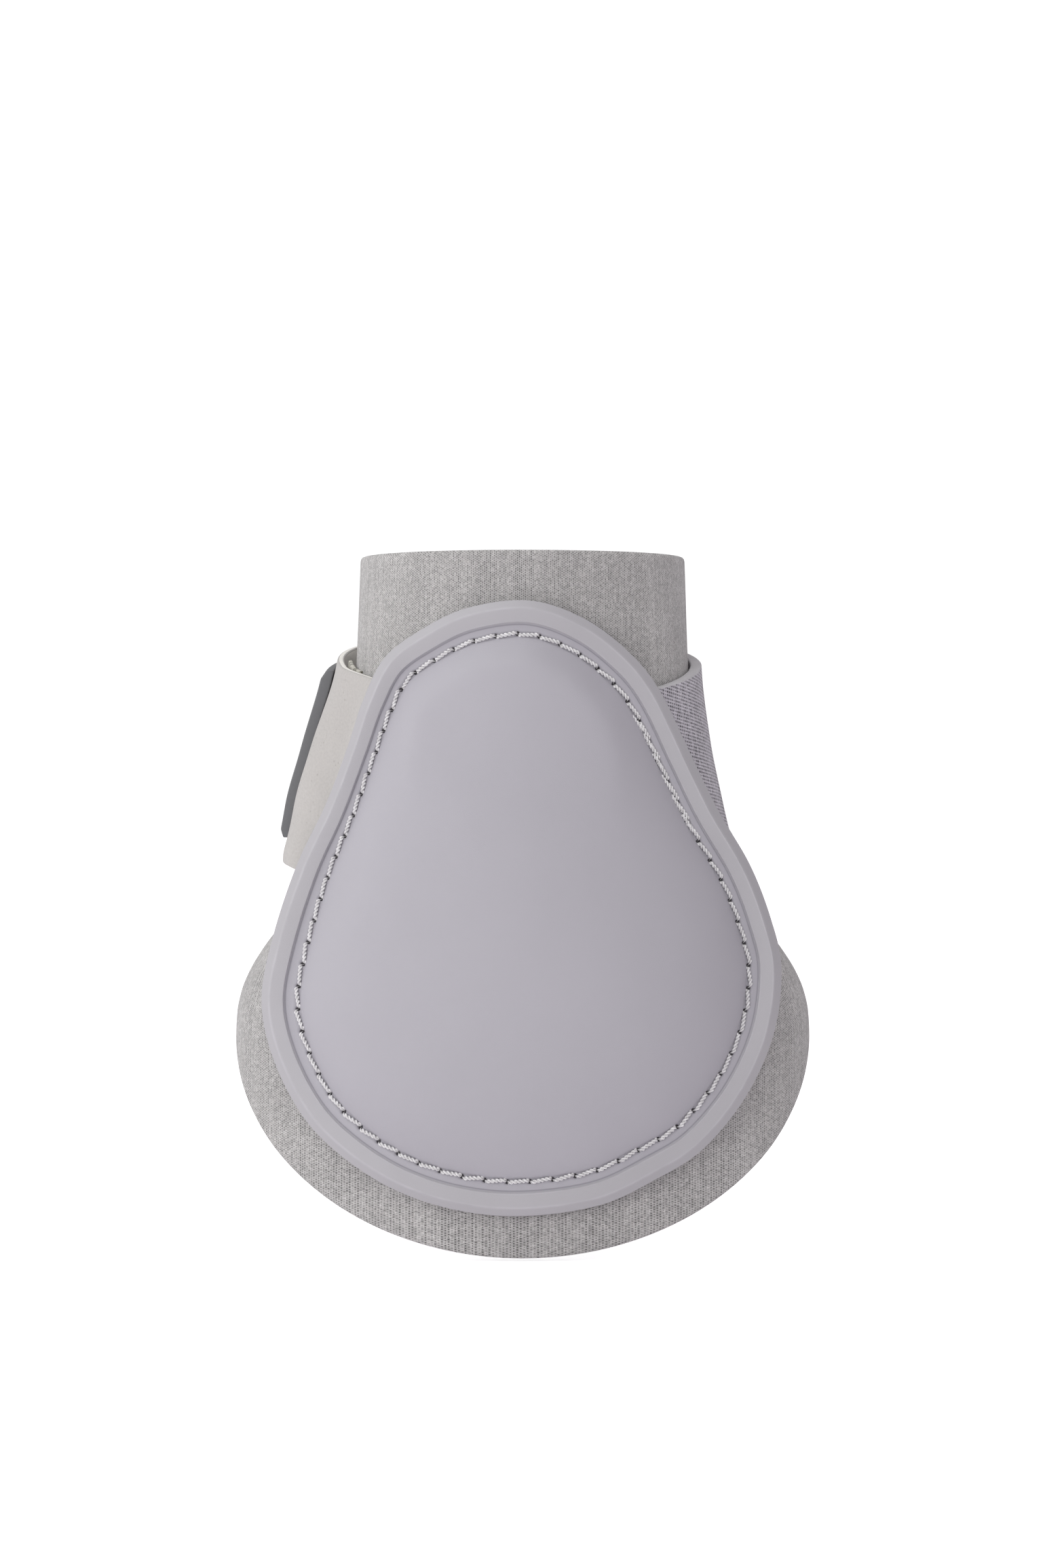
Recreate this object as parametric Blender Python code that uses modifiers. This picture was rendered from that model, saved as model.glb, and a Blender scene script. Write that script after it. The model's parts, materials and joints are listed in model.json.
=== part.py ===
"""Fetlock boot: a moulded shell on a flared neoprene wrap, closed by a tab over an elastic strap.

Metres, +Z up along the leg. The shell faces -Y. The origin is on the leg's axis, level with the
lowest point of the wrap's hem. Angles round the leg start at the front (-Y) and grow towards +X.
"""
import math

import bmesh
import bpy
from mathutils import Vector

# Fits
GAP = 0.0003
STRAP_CLEARANCE = 0.0007

# The wrap: collar at the top, flared bell below, hem cut on a slant
BOOT_HEIGHT = 0.150
COLLAR_HALF_WIDTH = 0.0361
BELL_HALF_WIDTH = 0.0628
HEM_FRONT_DEPTH = 0.0565
HEM_SIDE_HEIGHT = 0.046
PANEL_ARC_RADIUS = 0.100
PANEL_ARC_ANGLE = math.radians(32.5)
CORNER_RADIUS_MIN = 0.003
ARC_SINE_SHARE = 0.95
WRAP_THICKNESS = 0.0032
LINING_THICKNESS = 0.0012
WING_ANGLE = math.radians(110)
BACK_EDGE_ANGLE = math.radians(166)
WING_GAP = 0.0005
WRAP_COLUMNS = (30, 8)
NORMAL_TURN = math.radians(1)
NORMAL_RISE = 0.0015

# Rows of the wrap's mesh from the hem to the top, closer where it flares
ROW_SHARES = (0.0, 0.058, 0.106, 0.144, 0.183, 0.221, 0.260, 0.298, 0.346, 0.404, 0.471,
              0.548, 0.615, 0.680, 0.745, 0.810, 0.880, 1.0)

# How the wrap widens from collar to bell, by share of its height
HALF_WIDTH_SHARES = (
    (0.0, 1.0), (0.307, 1.0), (0.333, 0.993), (0.365, 0.955), (0.393, 0.888), (0.423, 0.783),
    (0.453, 0.652), (0.480, 0.500), (0.507, 0.393), (0.533, 0.333), (0.560, 0.285),
    (0.600, 0.221), (0.647, 0.165), (0.727, 0.082), (0.833, 0.019), (1.0, 0.0),
)
FRONT_DEPTH_SHARES = (
    (0.0, 1.0), (0.167, 0.877), (0.333, 0.730), (0.467, 0.559), (0.600, 0.363),
    (0.733, 0.167), (0.867, 0.034), (1.0, 0.0),
)
ARC_RADIUS_SHARES = (
    (0.0, 1.0), (0.333, 0.922), (0.453, 0.781), (0.533, 0.656), (0.647, 0.468),
    (0.727, 0.343), (0.833, 0.217), (0.933, 0.092), (1.0, 0.004),
)
BACK_DEPTH_SHARES = ((0.0, 0.30), (0.400, 0.30), (0.600, 0.10), (0.833, 0.02), (1.0, 0.0))

# The moulded shell
SHELL_HALF_WIDTH = 0.0558
SHELL_HEIGHT = 0.1297
SHELL_FOOT_HEIGHT = 0.0092
SHELL_FLOOR_THICKNESS = 0.0030
SHELL_WALL = 0.0018
RIM_HEIGHT = 0.0017
RIM_BEVEL = 0.0013
RIM_BEVEL_SHARE = 0.3
RIM_WIDTH = 0.0050
RIM_STEP = 0.0004
SEAM_INSET = 0.0072
CHANNEL_WIDTH = 0.0035
SHOULDER_WIDTH = 0.0090
SHOULDER_HEIGHT = 0.0048
CROWN_HEIGHT = 0.0034
CAVITY_INSET = 0.0025
FLANK_NARROWING_SHARE = 0.26
FLANK_CENTRE_SHARES = (-0.70, 0.72)
FLANK_REACH_SHARE = 0.24
SOFTENING_SHARE = 0.055
BASE_STEP = 0.0005
OUTLINE_SEGMENTS = 72
OUTLINE_FINENESS = 8
PAD_SEGMENTS = 36
CROWN_RINGS = 4
PAD_FLOOR_SHARES = (0.2, 0.4, 0.6, 0.8, 1.0)

# Section of the panel's shoulder: shares of its width and of its height
SHOULDER_SHARES = ((0.0, 0.0), (0.25, 0.33), (0.5, 0.67), (0.75, 0.92), (1.0, 1.0))

# Outline of the shell: shares of its half width and of its height, from the foot up the +X side
OUTLINE_SHARES = (
    (0.0, 0.0), (0.287, 0.016), (0.502, 0.056), (0.681, 0.102), (0.850, 0.185), (0.962, 0.285),
    (0.998, 0.392), (0.960, 0.475), (0.880, 0.565), (0.755, 0.657), (0.650, 0.750),
    (0.541, 0.847), (0.430, 0.909), (0.250, 0.968), (0.030, 1.0), (-0.215, 0.988),
    (-0.400, 0.950), (-0.530, 0.903), (-0.605, 0.835), (-0.665, 0.757), (-0.745, 0.665),
    (-0.860, 0.565), (-0.960, 0.450), (-1.004, 0.345), (-0.960, 0.252), (-0.842, 0.157),
    (-0.690, 0.093), (-0.484, 0.040), (-0.251, 0.009),
)
CENTRE_HEIGHT_SHARE = 0.42

# Straps: both follow the wrap, higher at the back than at the front
STRAP_WIDTH = 0.046
STRAP_TOP_HEIGHT = 0.126
STRAP_RISE = 0.008
ELASTIC_THICKNESS = 0.0016
TAB_THICKNESS = 0.0016
TAPE_THICKNESS = 0.0010
TAPE_GAPS = 3
BACKING_THICKNESS = 0.0009
BACKING_CLEARANCE = 0.0009
BADGE_THICKNESS = 0.0020
BADGE_CHAMFER = 0.0005
TAPE_MARGIN = 0.004
TAB_STANDOFF = 0.0084
STRAP_ROOT_INSET = 0.0083
ROOT_HEIGHT_ANGLE = math.radians(60)
ROOT_LIMIT_ANGLE = math.radians(80)
STANDOFF_TURN = math.radians(20)
EXIT_SHARPNESS = 12
ELASTIC_HINGE_ANGLE = math.radians(96)
TAB_HINGE_LOW_ANGLE = math.radians(-100)
TAB_HINGE_HIGH_ANGLE = math.radians(-92)
ELASTIC_TIP_ANGLE = math.radians(225)
TAB_TIP_ANGLE = math.radians(-172)
TAPE_START_ANGLE = math.radians(-140)
TAPE_END_ANGLE = math.radians(-168)
BACKING_START_SHARE = 0.55
BADGE_MARGIN_ANGLE = math.radians(2.5)
BADGE_END_ANGLE = math.radians(-140)
BADGE_LOW_SHARE = 0.17
BADGE_HIGH_SHARE = 0.93
OVERLAP_ANGLE = math.radians(132)
HINGE_OUTBOARD = 0.0008
POCKET_MARGIN = 0.0045
POCKET_FADE = 0.004
POCKET_INSET_MARGIN = 0.0008
PIVOT_SIZE = 0.0115
ELASTIC_GRIDS = ((10, 6), (24, 6))
TAB_GRIDS = ((14, 8), (18, 8))
BACKING_GRID = (8, 8)
TAPE_GRID = (6, 6)
BADGE_GRID = (10, 5)

# How far the closure tab stands off the wrap, by share of its width
TAB_STANDOFF_SHARES = ((0.0, 0.74), (0.12, 0.93), (0.3, 0.825), (1.0, 0.405))

# Wing hinges lie outside the wrap, straight from the bell to the collar
WING_AXIS_OUTBOARD = 0.0010

# Edges of the finished pieces
SHARP_ANGLE = math.radians(40)
CHAMFER_LIMIT_ANGLE = math.radians(50)

# Base colours, roughness
FINISHES = {
    "shell_polyurethane": ((0.47, 0.45, 0.50), 0.45),
    "neoprene_knit": ((0.40, 0.39, 0.39), 0.9),
    "lining_knit": ((0.34, 0.33, 0.34), 0.95),
    "foam": ((0.20, 0.20, 0.21), 0.95),
    "elastic_webbing": ((0.36, 0.34, 0.38), 0.85),
    "tab_fabric": ((0.60, 0.58, 0.55), 0.7),
    "hook_tape": ((0.42, 0.41, 0.40), 0.8),
    "loop_tape": ((0.45, 0.43, 0.42), 0.95),
    "badge_rubber": ((0.13, 0.13, 0.135), 0.5),
}


def clear_scene():
    """Remove every object of the open scene."""
    for item in list(bpy.data.objects):
        bpy.data.objects.remove(item, do_unlink=True)


def mix(first, second, share):
    """Value a share of the way from first to second."""
    return first + (second - first) * share


def ease(share):
    """Smooth step from 0 to 1."""
    share = min(max(share, 0.0), 1.0)
    return share * share * (3.0 - 2.0 * share)


def along(shares, place):
    """Value at a place of a table of (place, value), joined by smooth curves that never overshoot."""
    places = [pair[0] for pair in shares]
    values = [pair[1] for pair in shares]
    place = min(max(place, places[0]), places[-1])
    spans = [b - a for a, b in zip(places, places[1:])]
    slopes = [(b - a) / span for a, b, span in zip(values, values[1:], spans)]
    tangents = [slopes[0]]
    for before, after in zip(slopes, slopes[1:]):
        turns = before * after <= 0.0
        tangents.append(0.0 if turns else 2.0 * before * after / (before + after))
    tangents.append(slopes[-1])
    index = max(i for i in range(len(spans)) if places[i] <= place)
    span = spans[index]
    s = (place - places[index]) / span
    rise = s * s * (3.0 - 2.0 * s)
    bend_in = s * (1.0 - s) ** 2 * span * tangents[index]
    bend_out = s * s * (s - 1.0) * span * tangents[index + 1]
    return mix(values[index], values[index + 1], rise) + bend_in + bend_out


def half_width(z):
    """Half the wrap's width at a height."""
    return mix(COLLAR_HALF_WIDTH, BELL_HALF_WIDTH, along(HALF_WIDTH_SHARES, z / BOOT_HEIGHT))


def front_depth(z):
    """Distance of the wrap's front from the leg's axis."""
    return mix(COLLAR_HALF_WIDTH, HEM_FRONT_DEPTH, along(FRONT_DEPTH_SHARES, z / BOOT_HEIGHT))


def arc_radius(z):
    """Radius of the broad front arc in plan."""
    return mix(COLLAR_HALF_WIDTH, PANEL_ARC_RADIUS, along(ARC_RADIUS_SHARES, z / BOOT_HEIGHT))


def back_depth(z):
    """Distance of the wrap's back from the leg's axis."""
    return mix(COLLAR_HALF_WIDTH, BELL_HALF_WIDTH, along(BACK_DEPTH_SHARES, z / BOOT_HEIGHT))


def wrap_section(z):
    """Radii and centre of the corner between the front arc and the wrap's side."""
    wide = half_width(z)
    broad = arc_radius(z)
    sine = math.sin(PANEL_ARC_ANGLE)
    corner = max((wide - broad * sine) / (1.0 - sine), CORNER_RADIUS_MIN)
    sine = (wide - corner) / max(broad - corner, CORNER_RADIUS_MIN)
    sine = min(max(sine, 0.0), ARC_SINE_SHARE)
    centre_y = broad - front_depth(z) - math.sqrt(1.0 - sine * sine) * (broad - corner)
    return wide, broad, corner, sine, centre_y


def wrap_point(angle, z):
    """Point of the wrap's outer face."""
    wide, broad, corner, sine, centre_y = wrap_section(z)
    x = wide * math.sin(angle)
    if math.cos(angle) < 0.0:
        y = centre_y - (back_depth(z) - centre_y) * math.cos(angle)
    elif abs(x) <= broad * sine:
        y = broad - front_depth(z) - math.sqrt(broad * broad - x * x)
    else:
        reach = min(abs(x) - (wide - corner), corner)
        y = centre_y - math.sqrt(corner * corner - reach * reach)
    return Vector((x, y, z))


def wrap_normal(angle, z):
    """Outward normal of the wrap's outer face."""
    round_leg = wrap_point(angle + NORMAL_TURN, z) - wrap_point(angle - NORMAL_TURN, z)
    up_leg = wrap_point(angle, z + NORMAL_RISE) - wrap_point(angle, z - NORMAL_RISE)
    return round_leg.cross(up_leg).normalized()


def wrap_inside(angle, z, depth):
    """Point a depth inside the outer face, at the same height."""
    normal = wrap_normal(angle, z)
    lifted = z + normal.z * depth
    point = wrap_point(angle, lifted) - wrap_normal(angle, lifted) * depth
    point.z = z
    return point


def plan_normal(angle, z):
    """Level outward normal of the wrap's section at a height."""
    round_leg = wrap_point(angle + NORMAL_TURN, z) - wrap_point(angle - NORMAL_TURN, z)
    return round_leg.cross(Vector((0.0, 0.0, 1.0))).normalized()


def hem_height(angle):
    """Height of the slanted hem at an angle round the leg."""
    return HEM_SIDE_HEIGHT * (1.0 - math.cos(angle))


def new_material(name):
    """Principled material of one finish."""
    material = bpy.data.materials.get(name)
    if material:
        return material
    colour, roughness = FINISHES[name]
    material = bpy.data.materials.new(name)
    material.use_nodes = True
    shader = material.node_tree.nodes["Principled BSDF"]
    shader.inputs["Base Color"].default_value = (*colour, 1.0)
    shader.inputs["Roughness"].default_value = roughness
    shader.inputs["Metallic"].default_value = 0.0
    material.diffuse_color = (*colour, 1.0)
    return material


def add_object(name, mesh, finish, collection, parent=None):
    """Link a mesh as a named part, with its origin at its parent's when it has one."""
    item = bpy.data.objects.new(name, mesh)
    mesh.materials.append(new_material(finish))
    collection.objects.link(item)
    if parent:
        mesh.transform(parent.matrix_world.inverted())
        item.parent = parent
    mesh.shade_smooth()
    mesh.set_sharp_from_angle(angle=SHARP_ANGLE)
    return item


def wall_mesh(name, u_shares, v_shares, inner, outer):
    """Closed mesh of a curved wall: inner(u, v) and outer(u, v) give the points of its faces."""
    mesh = bpy.data.meshes.new(name)
    build = bmesh.new()
    inside = [[build.verts.new(inner(u, v)) for v in v_shares] for u in u_shares]
    outside = [[build.verts.new(outer(u, v)) for v in v_shares] for u in u_shares]
    columns, rows = len(u_shares) - 1, len(v_shares) - 1
    for i in range(columns):
        for j in range(rows):
            for face in (outside, inside):
                build.faces.new((face[i][j], face[i + 1][j], face[i + 1][j + 1], face[i][j + 1]))
        for j in (0, rows):
            build.faces.new((outside[i][j], outside[i + 1][j], inside[i + 1][j], inside[i][j]))
    for j in range(rows):
        for i in (0, columns):
            build.faces.new((outside[i][j], outside[i][j + 1], inside[i][j + 1], inside[i][j]))
    bmesh.ops.recalc_face_normals(build, faces=build.faces[:])
    build.to_mesh(mesh)
    build.free()
    return mesh


def even_shares(count):
    """Shares from 0 to 1 in even steps."""
    return [step / count for step in range(count + 1)]


def wrap_layer(name, start, end, depth, thickness, finish, collection, columns, parent=None):
    """One layer of the wrap between two angles, a depth inside the outer face."""
    def face(level):
        def place(u, v):
            angle = mix(start, end, u)
            return wrap_inside(angle, mix(hem_height(angle), BOOT_HEIGHT, v), level)
        return place

    mesh = wall_mesh(name, even_shares(columns), ROW_SHARES, face(depth + thickness), face(depth))
    return add_object(name, mesh, finish, collection, parent)


def closed_curve(shares, count):
    """Evenly stepped points of a smooth closed curve through the shares."""
    size = len(shares)
    points = []
    for step in range(count):
        place = step * size / count
        index = int(place)
        s = place - index
        a, b, c, d = (Vector(shares[(index + k) % size]) for k in (-1, 0, 1, 2))
        points.append(0.5 * (2.0 * b + (c - a) * s + (2.0 * a - 5.0 * b + 4.0 * c - d) * s ** 2
                             + (3.0 * b - a - 3.0 * c + d) * s ** 3))
    return points


def evened(points, count):
    """The same closed curve with a count of points spaced evenly along it."""
    size = len(points)
    lengths = [(points[(i + 1) % size] - points[i]).length for i in range(size)]
    total = sum(lengths)
    spaced = []
    index, run = 0, 0.0
    for step in range(count):
        target = total * step / count
        while run + lengths[index] < target:
            run += lengths[index]
            index += 1
        share = (target - run) / lengths[index]
        spaced.append(points[index].lerp(points[(index + 1) % size], share))
    return spaced


def shell_outline(count):
    """The shell's outline seen from the front, as a count of (x, z) points."""
    shares = closed_curve(OUTLINE_SHARES, count * OUTLINE_FINENESS)
    return evened([Vector((x * SHELL_HALF_WIDTH, SHELL_FOOT_HEIGHT + z * SHELL_HEIGHT))
                   for x, z in shares], count)


def outline_normals(outline):
    """Unit normals of the outline that point into the shell."""
    size = len(outline)
    normals = []
    for i in range(size):
        run = outline[(i + 1) % size] - outline[i - 1]
        normals.append(Vector((-run.y, run.x)).normalized())
    return normals


def flank_share(point):
    """How much narrower the rim is here: it tapers along the -X flank."""
    x = point.x / SHELL_HALF_WIDTH - FLANK_CENTRE_SHARES[0]
    z = (point.y - SHELL_FOOT_HEIGHT) / SHELL_HEIGHT - FLANK_CENTRE_SHARES[1]
    away = math.hypot(x, z) / FLANK_REACH_SHARE
    return 1.0 - FLANK_NARROWING_SHARE * math.exp(-away * away)


def softened(normals):
    """Normals averaged over their neighbours, so that deep rings don't cross at tight corners."""
    size = len(normals)
    reach = round(size * SOFTENING_SHARE)
    near = range(-reach, reach + 1)
    return [sum((normals[(i + k) % size] for k in near), Vector((0.0, 0.0))) / len(near)
            for i in range(size)]


def inset_ring(outline, normals, inset):
    """The outline moved into the shell by an inset."""
    return [point + normal * inset * flank_share(point) for point, normal in zip(outline, normals)]


def shell_base(point):
    """Point of the broad front arc that the shell is moulded on, and its outward normal."""
    def arc(x, z):
        broad = arc_radius(z)
        x_in = min(abs(x), broad)
        return Vector((x, broad - front_depth(z) - math.sqrt(broad * broad - x_in * x_in), z))

    across = arc(point.x + BASE_STEP, point.y) - arc(point.x - BASE_STEP, point.y)
    up = arc(point.x, point.y + BASE_STEP) - arc(point.x, point.y - BASE_STEP)
    return arc(point.x, point.y), across.cross(up).normalized()


def edge_level():
    """Height off the arc of the rim's outer edge, where the outline is seen from the front."""
    return GAP + SHELL_FLOOR_THICKNESS + RIM_HEIGHT - RIM_BEVEL


def raised(ring, height):
    """Points of a ring lifted off the arc; height is a number or a function of the point."""
    points = []
    for place in ring:
        lean = shell_base(place)[1]
        base, normal = shell_base(place - Vector((lean.x, lean.z)) * edge_level())
        lift = height(place) if callable(height) else height
        points.append(base + normal * lift)
    return points


def strap_top(angle):
    """Height of the straps' upper edge."""
    return STRAP_TOP_HEIGHT - STRAP_RISE * math.cos(angle)


def pocket_share(point):
    """How far the shell's flange is hollowed here for the strap ends, from 0 to 1."""
    top = strap_top(ROOT_HEIGHT_ANGLE)
    above = (point.y - top - POCKET_MARGIN) / POCKET_FADE
    below = (top - STRAP_WIDTH - POCKET_MARGIN - point.y) / POCKET_FADE
    return 1.0 - ease(max(above, below))


def flange_underside(point):
    """Height of the flange's underside: on the wrap, and over the strap ends in their pockets."""
    return GAP + pocket_share(point) * (max(ELASTIC_THICKNESS, TAB_THICKNESS) + GAP)


def crown_ring(ring, share):
    """A ring drawn in towards the middle of the domed panel."""
    centre = Vector((0.0, SHELL_FOOT_HEIGHT + CENTRE_HEIGHT_SHARE * SHELL_HEIGHT))
    return [centre.lerp(point, share) for point in ring]


def loft(name, rings, top_centre, bottom_centre):
    """Closed mesh through rings of points, capped by a fan at each end."""
    mesh = bpy.data.meshes.new(name)
    build = bmesh.new()
    loops = [[build.verts.new(point) for point in ring] for ring in rings]
    size = len(loops[0])
    for lower, upper in zip(loops, loops[1:]):
        for i in range(size):
            k = (i + 1) % size
            build.faces.new((lower[i], lower[k], upper[k], upper[i]))
    first, last = build.verts.new(bottom_centre), build.verts.new(top_centre)
    for i in range(size):
        k = (i + 1) % size
        build.faces.new((loops[0][k], loops[0][i], first))
        build.faces.new((loops[-1][i], loops[-1][k], last))
    bmesh.ops.recalc_face_normals(build, faces=build.faces[:])
    build.to_mesh(mesh)
    build.free()
    return mesh


def panel_rings(outline, normals, inset, lower_height, sink):
    """Rings and centre of the domed panel: shoulder, then crown, from its edge to its middle."""
    edge = inset_ring(outline, normals, inset)
    inward = softened(normals)
    rings = []
    for share, rise in SHOULDER_SHARES:
        ring = inset_ring(edge, inward, SHOULDER_WIDTH * share)
        rings.append(raised(ring, lower_height + SHOULDER_HEIGHT * rise - sink))
    inner = inset_ring(edge, inward, SHOULDER_WIDTH)
    top = lower_height + SHOULDER_HEIGHT - sink
    for step in range(1, CROWN_RINGS):
        share = 1.0 - step / CROWN_RINGS
        rings.append(raised(crown_ring(inner, share), top + CROWN_HEIGHT * (1.0 - share * share)))
    return rings, raised(crown_ring(inner, 0.0)[:1], top + CROWN_HEIGHT)[0]


def make_shell(collection):
    """Pear-shaped moulding: raised rim, stitching channel and domed panel over a hollow."""
    outline = shell_outline(OUTLINE_SEGMENTS)
    normals = outline_normals(outline)
    floor = GAP + SHELL_FLOOR_THICKNESS
    channel_end = SEAM_INSET + CHANNEL_WIDTH / 2.0
    outer = []
    for inset, height in (
        (0.0, floor + RIM_HEIGHT - RIM_BEVEL),
        (RIM_BEVEL * RIM_BEVEL_SHARE, floor + RIM_HEIGHT - RIM_BEVEL * RIM_BEVEL_SHARE),
        (RIM_BEVEL, floor + RIM_HEIGHT),
        (RIM_WIDTH, floor + RIM_HEIGHT),
        (RIM_WIDTH + RIM_STEP, floor),
        (SEAM_INSET, floor),
    ):
        outer.append(raised(inset_ring(outline, normals, inset), height))
    dome, dome_centre = panel_rings(outline, normals, channel_end, floor, 0.0)
    cavity, cavity_centre = panel_rings(
        outline, normals, channel_end + CAVITY_INSET, floor, SHELL_WALL)
    hollow_edge = inset_ring(outline, normals, channel_end + CAVITY_INSET / 2.0)
    under = [
        raised(inset_ring(outline, normals, 0.0), flange_underside),
        raised(inset_ring(outline, normals, RIM_WIDTH), flange_underside),
        raised(inset_ring(outline, normals, SEAM_INSET + POCKET_INSET_MARGIN), flange_underside),
        raised(hollow_edge, GAP),
    ]
    rings = list(reversed(cavity)) + list(reversed(under)) + outer + dome
    mesh = loft("outer_shell", rings, dome_centre, cavity_centre)
    return add_object("outer_shell", mesh, "shell_polyurethane", collection)


def make_pad(collection):
    """Impact pad that fills the hollow between the domed panel and the wrap."""
    outline = shell_outline(PAD_SEGMENTS)
    normals = outline_normals(outline)
    floor = GAP + SHELL_FLOOR_THICKNESS
    edge = SEAM_INSET + CHANNEL_WIDTH / 2.0 + CAVITY_INSET + GAP
    roof, roof_centre = panel_rings(outline, normals, edge, floor, SHELL_WALL + GAP)
    floor_rings = [raised(crown_ring(inset_ring(outline, normals, edge), share), GAP)
                   for share in PAD_FLOOR_SHARES]
    floor_centre = raised(crown_ring(outline, 0.0)[:1], GAP)[0]
    mesh = loft("impact_pad", floor_rings + roof, roof_centre, floor_centre)
    return add_object("impact_pad", mesh, "foam", collection)


def flank_half_width(side, z):
    """Half width of the shell's outline on one side at a height."""
    flank = [(h, side * w * SHELL_HALF_WIDTH) for w, h in OUTLINE_SHARES if side * w > 0.0]
    return along(tuple(sorted(flank)), (z - SHELL_FOOT_HEIGHT) / SHELL_HEIGHT)


def strap_height(angle, v):
    """Height on a strap, at a share of its width from its lower edge."""
    return strap_top(angle) - STRAP_WIDTH * (1.0 - v)


def exit_angle(side, v):
    """Angle at which a strap leaves the wrap under the shell's rim, at a share of its width."""
    z = strap_height(ROOT_HEIGHT_ANGLE, v)
    reach = flank_half_width(side, z) / half_width(z)
    return math.asin(reach / (1.0 + reach ** EXIT_SHARPNESS) ** (1.0 / EXIT_SHARPNESS))


def root_angle(side, v):
    """Angle at which a strap's sewn end lies, inside the seam of the shell's flank."""
    z = strap_height(ROOT_HEIGHT_ANGLE, v)
    reach = (flank_half_width(side, z) - STRAP_ROOT_INSET) / half_width(z)
    return side * math.asin(min(reach, math.sin(ROOT_LIMIT_ANGLE)))


def tab_offset(angle, v):
    """Distance of the closure tab's inner face from the wrap, at a share of its width."""
    overlap = STRAP_CLEARANCE + ELASTIC_THICKNESS + TAPE_THICKNESS * 2.0 + GAP * TAPE_GAPS
    leaves = exit_angle(-1.0, v)
    free = TAB_STANDOFF * along(TAB_STANDOFF_SHARES, v)
    full = leaves + STANDOFF_TURN
    settle = (abs(angle) - full) / (OVERLAP_ANGLE - full)
    return mix(mix(GAP, free, ease((abs(angle) - leaves) / STANDOFF_TURN)), overlap, ease(settle))


def elastic_offset(angle, v):
    """Distance of the elastic strap's inner face from the wrap."""
    rise = (abs(angle) - exit_angle(1.0, v)) / STANDOFF_TURN
    return mix(GAP, STRAP_CLEARANCE, ease(rise))


def strap_point(angle, v, offset):
    """Point of a strap, at an angle round the leg and a share of its width from its lower edge."""
    z = strap_height(angle, v)
    return wrap_point(angle, z) + plan_normal(angle, z) * offset


def strap_layer(name, span, band, lift, thickness, finish, collection, grid, parent=None):
    """A strap or tape: span(v) gives its end angles, band its share of the strap's width."""
    def face(level):
        def place(u, v):
            width_share = mix(*band, v)
            angle = mix(*span(width_share), u)
            return strap_point(angle, width_share, lift(angle, width_share) + level)
        return place

    columns, rows = grid
    mesh = wall_mesh(name, even_shares(columns), even_shares(rows), face(0.0), face(thickness))
    return add_object(name, mesh, finish, collection, parent)


def tab_hinge_angle(v):
    """Angle of the closure tab's hinge, at a share of its width."""
    return mix(TAB_HINGE_LOW_ANGLE, TAB_HINGE_HIGH_ANGLE, v)


def hinge_line(angle, lift):
    """Lower and upper point of a strap's hinge, just outside its outer face."""
    return tuple(strap_point(angle(v), v, lift(angle(v), v) + HINGE_OUTBOARD) for v in (0.0, 1.0))


def wing_line(side):
    """Lower and upper point of a wing's hinge, straight outside the hollow of the wrap's side."""
    low = Vector((side * (half_width(hem_height(WING_ANGLE)) + WING_AXIS_OUTBOARD), 0.0,
                  hem_height(WING_ANGLE)))
    high = Vector((side * (COLLAR_HALF_WIDTH + WING_AXIS_OUTBOARD), 0.0, BOOT_HEIGHT))
    return low, high


def add_pivot(name, line):
    """Empty at the middle of a hinge, with its Z along the hinge."""
    low, high = line
    pivot = bpy.data.objects.new(name, None)
    pivot.empty_display_size = PIVOT_SIZE
    bpy.context.scene.collection.objects.link(pivot)
    pivot.location = (low + high) / 2.0
    pivot.rotation_mode = "QUATERNION"
    pivot.rotation_quaternion = (high - low).to_track_quat("Z", "Y")
    bpy.context.view_layer.update()
    return pivot


def make_wrap(collection):
    """The neoprene wrap and its lining: a front, and two wings that open for the leg."""
    front = WING_ANGLE - WING_GAP / COLLAR_HALF_WIDTH
    layers = (("liner", 0.0, WRAP_THICKNESS, "neoprene_knit"),
              ("lining", WRAP_THICKNESS + GAP, LINING_THICKNESS, "lining_knit"))
    left = add_pivot("left_wing_pivot", wing_line(-1.0))
    right = add_pivot("right_wing_pivot", wing_line(1.0))
    front_columns, wing_columns = WRAP_COLUMNS
    for name, depth, thickness, finish in layers:
        wrap_layer(name + "_front", -front, front, depth, thickness, finish, collection,
                   front_columns)
        wrap_layer(name + "_right_wing", WING_ANGLE, BACK_EDGE_ANGLE, depth, thickness, finish,
                   collection, wing_columns, right)
        wrap_layer(name + "_left_wing", -BACK_EDGE_ANGLE, -WING_ANGLE, depth, thickness, finish,
                   collection, wing_columns, left)


def make_elastic(collection):
    """Elastic strap from under the shell's +X flank, round the back, with its loop patch."""
    split = GAP / COLLAR_HALF_WIDTH
    margin = TAPE_MARGIN / STRAP_WIDTH
    root_grid, strap_grid = ELASTIC_GRIDS
    pivot = add_pivot("elastic_pivot", hinge_line(
        lambda v: ELASTIC_HINGE_ANGLE, lambda angle, v: elastic_offset(angle, v) + ELASTIC_THICKNESS))
    strap_layer("elastic_root", lambda v: (root_angle(1.0, v), ELASTIC_HINGE_ANGLE - split),
                (0.0, 1.0), elastic_offset, ELASTIC_THICKNESS, "elastic_webbing", collection,
                root_grid)
    strap_layer("elastic_strap", lambda v: (ELASTIC_HINGE_ANGLE + split, ELASTIC_TIP_ANGLE),
                (0.0, 1.0), elastic_offset, ELASTIC_THICKNESS, "elastic_webbing", collection,
                strap_grid, pivot)
    strap_layer("loop_patch", lambda v: (math.tau + TAPE_END_ANGLE, math.tau + TAPE_START_ANGLE),
                (margin, 1.0 - margin),
                lambda angle, v: elastic_offset(angle, v) + ELASTIC_THICKNESS + GAP,
                TAPE_THICKNESS, "loop_tape", collection, TAPE_GRID, pivot)


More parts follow.
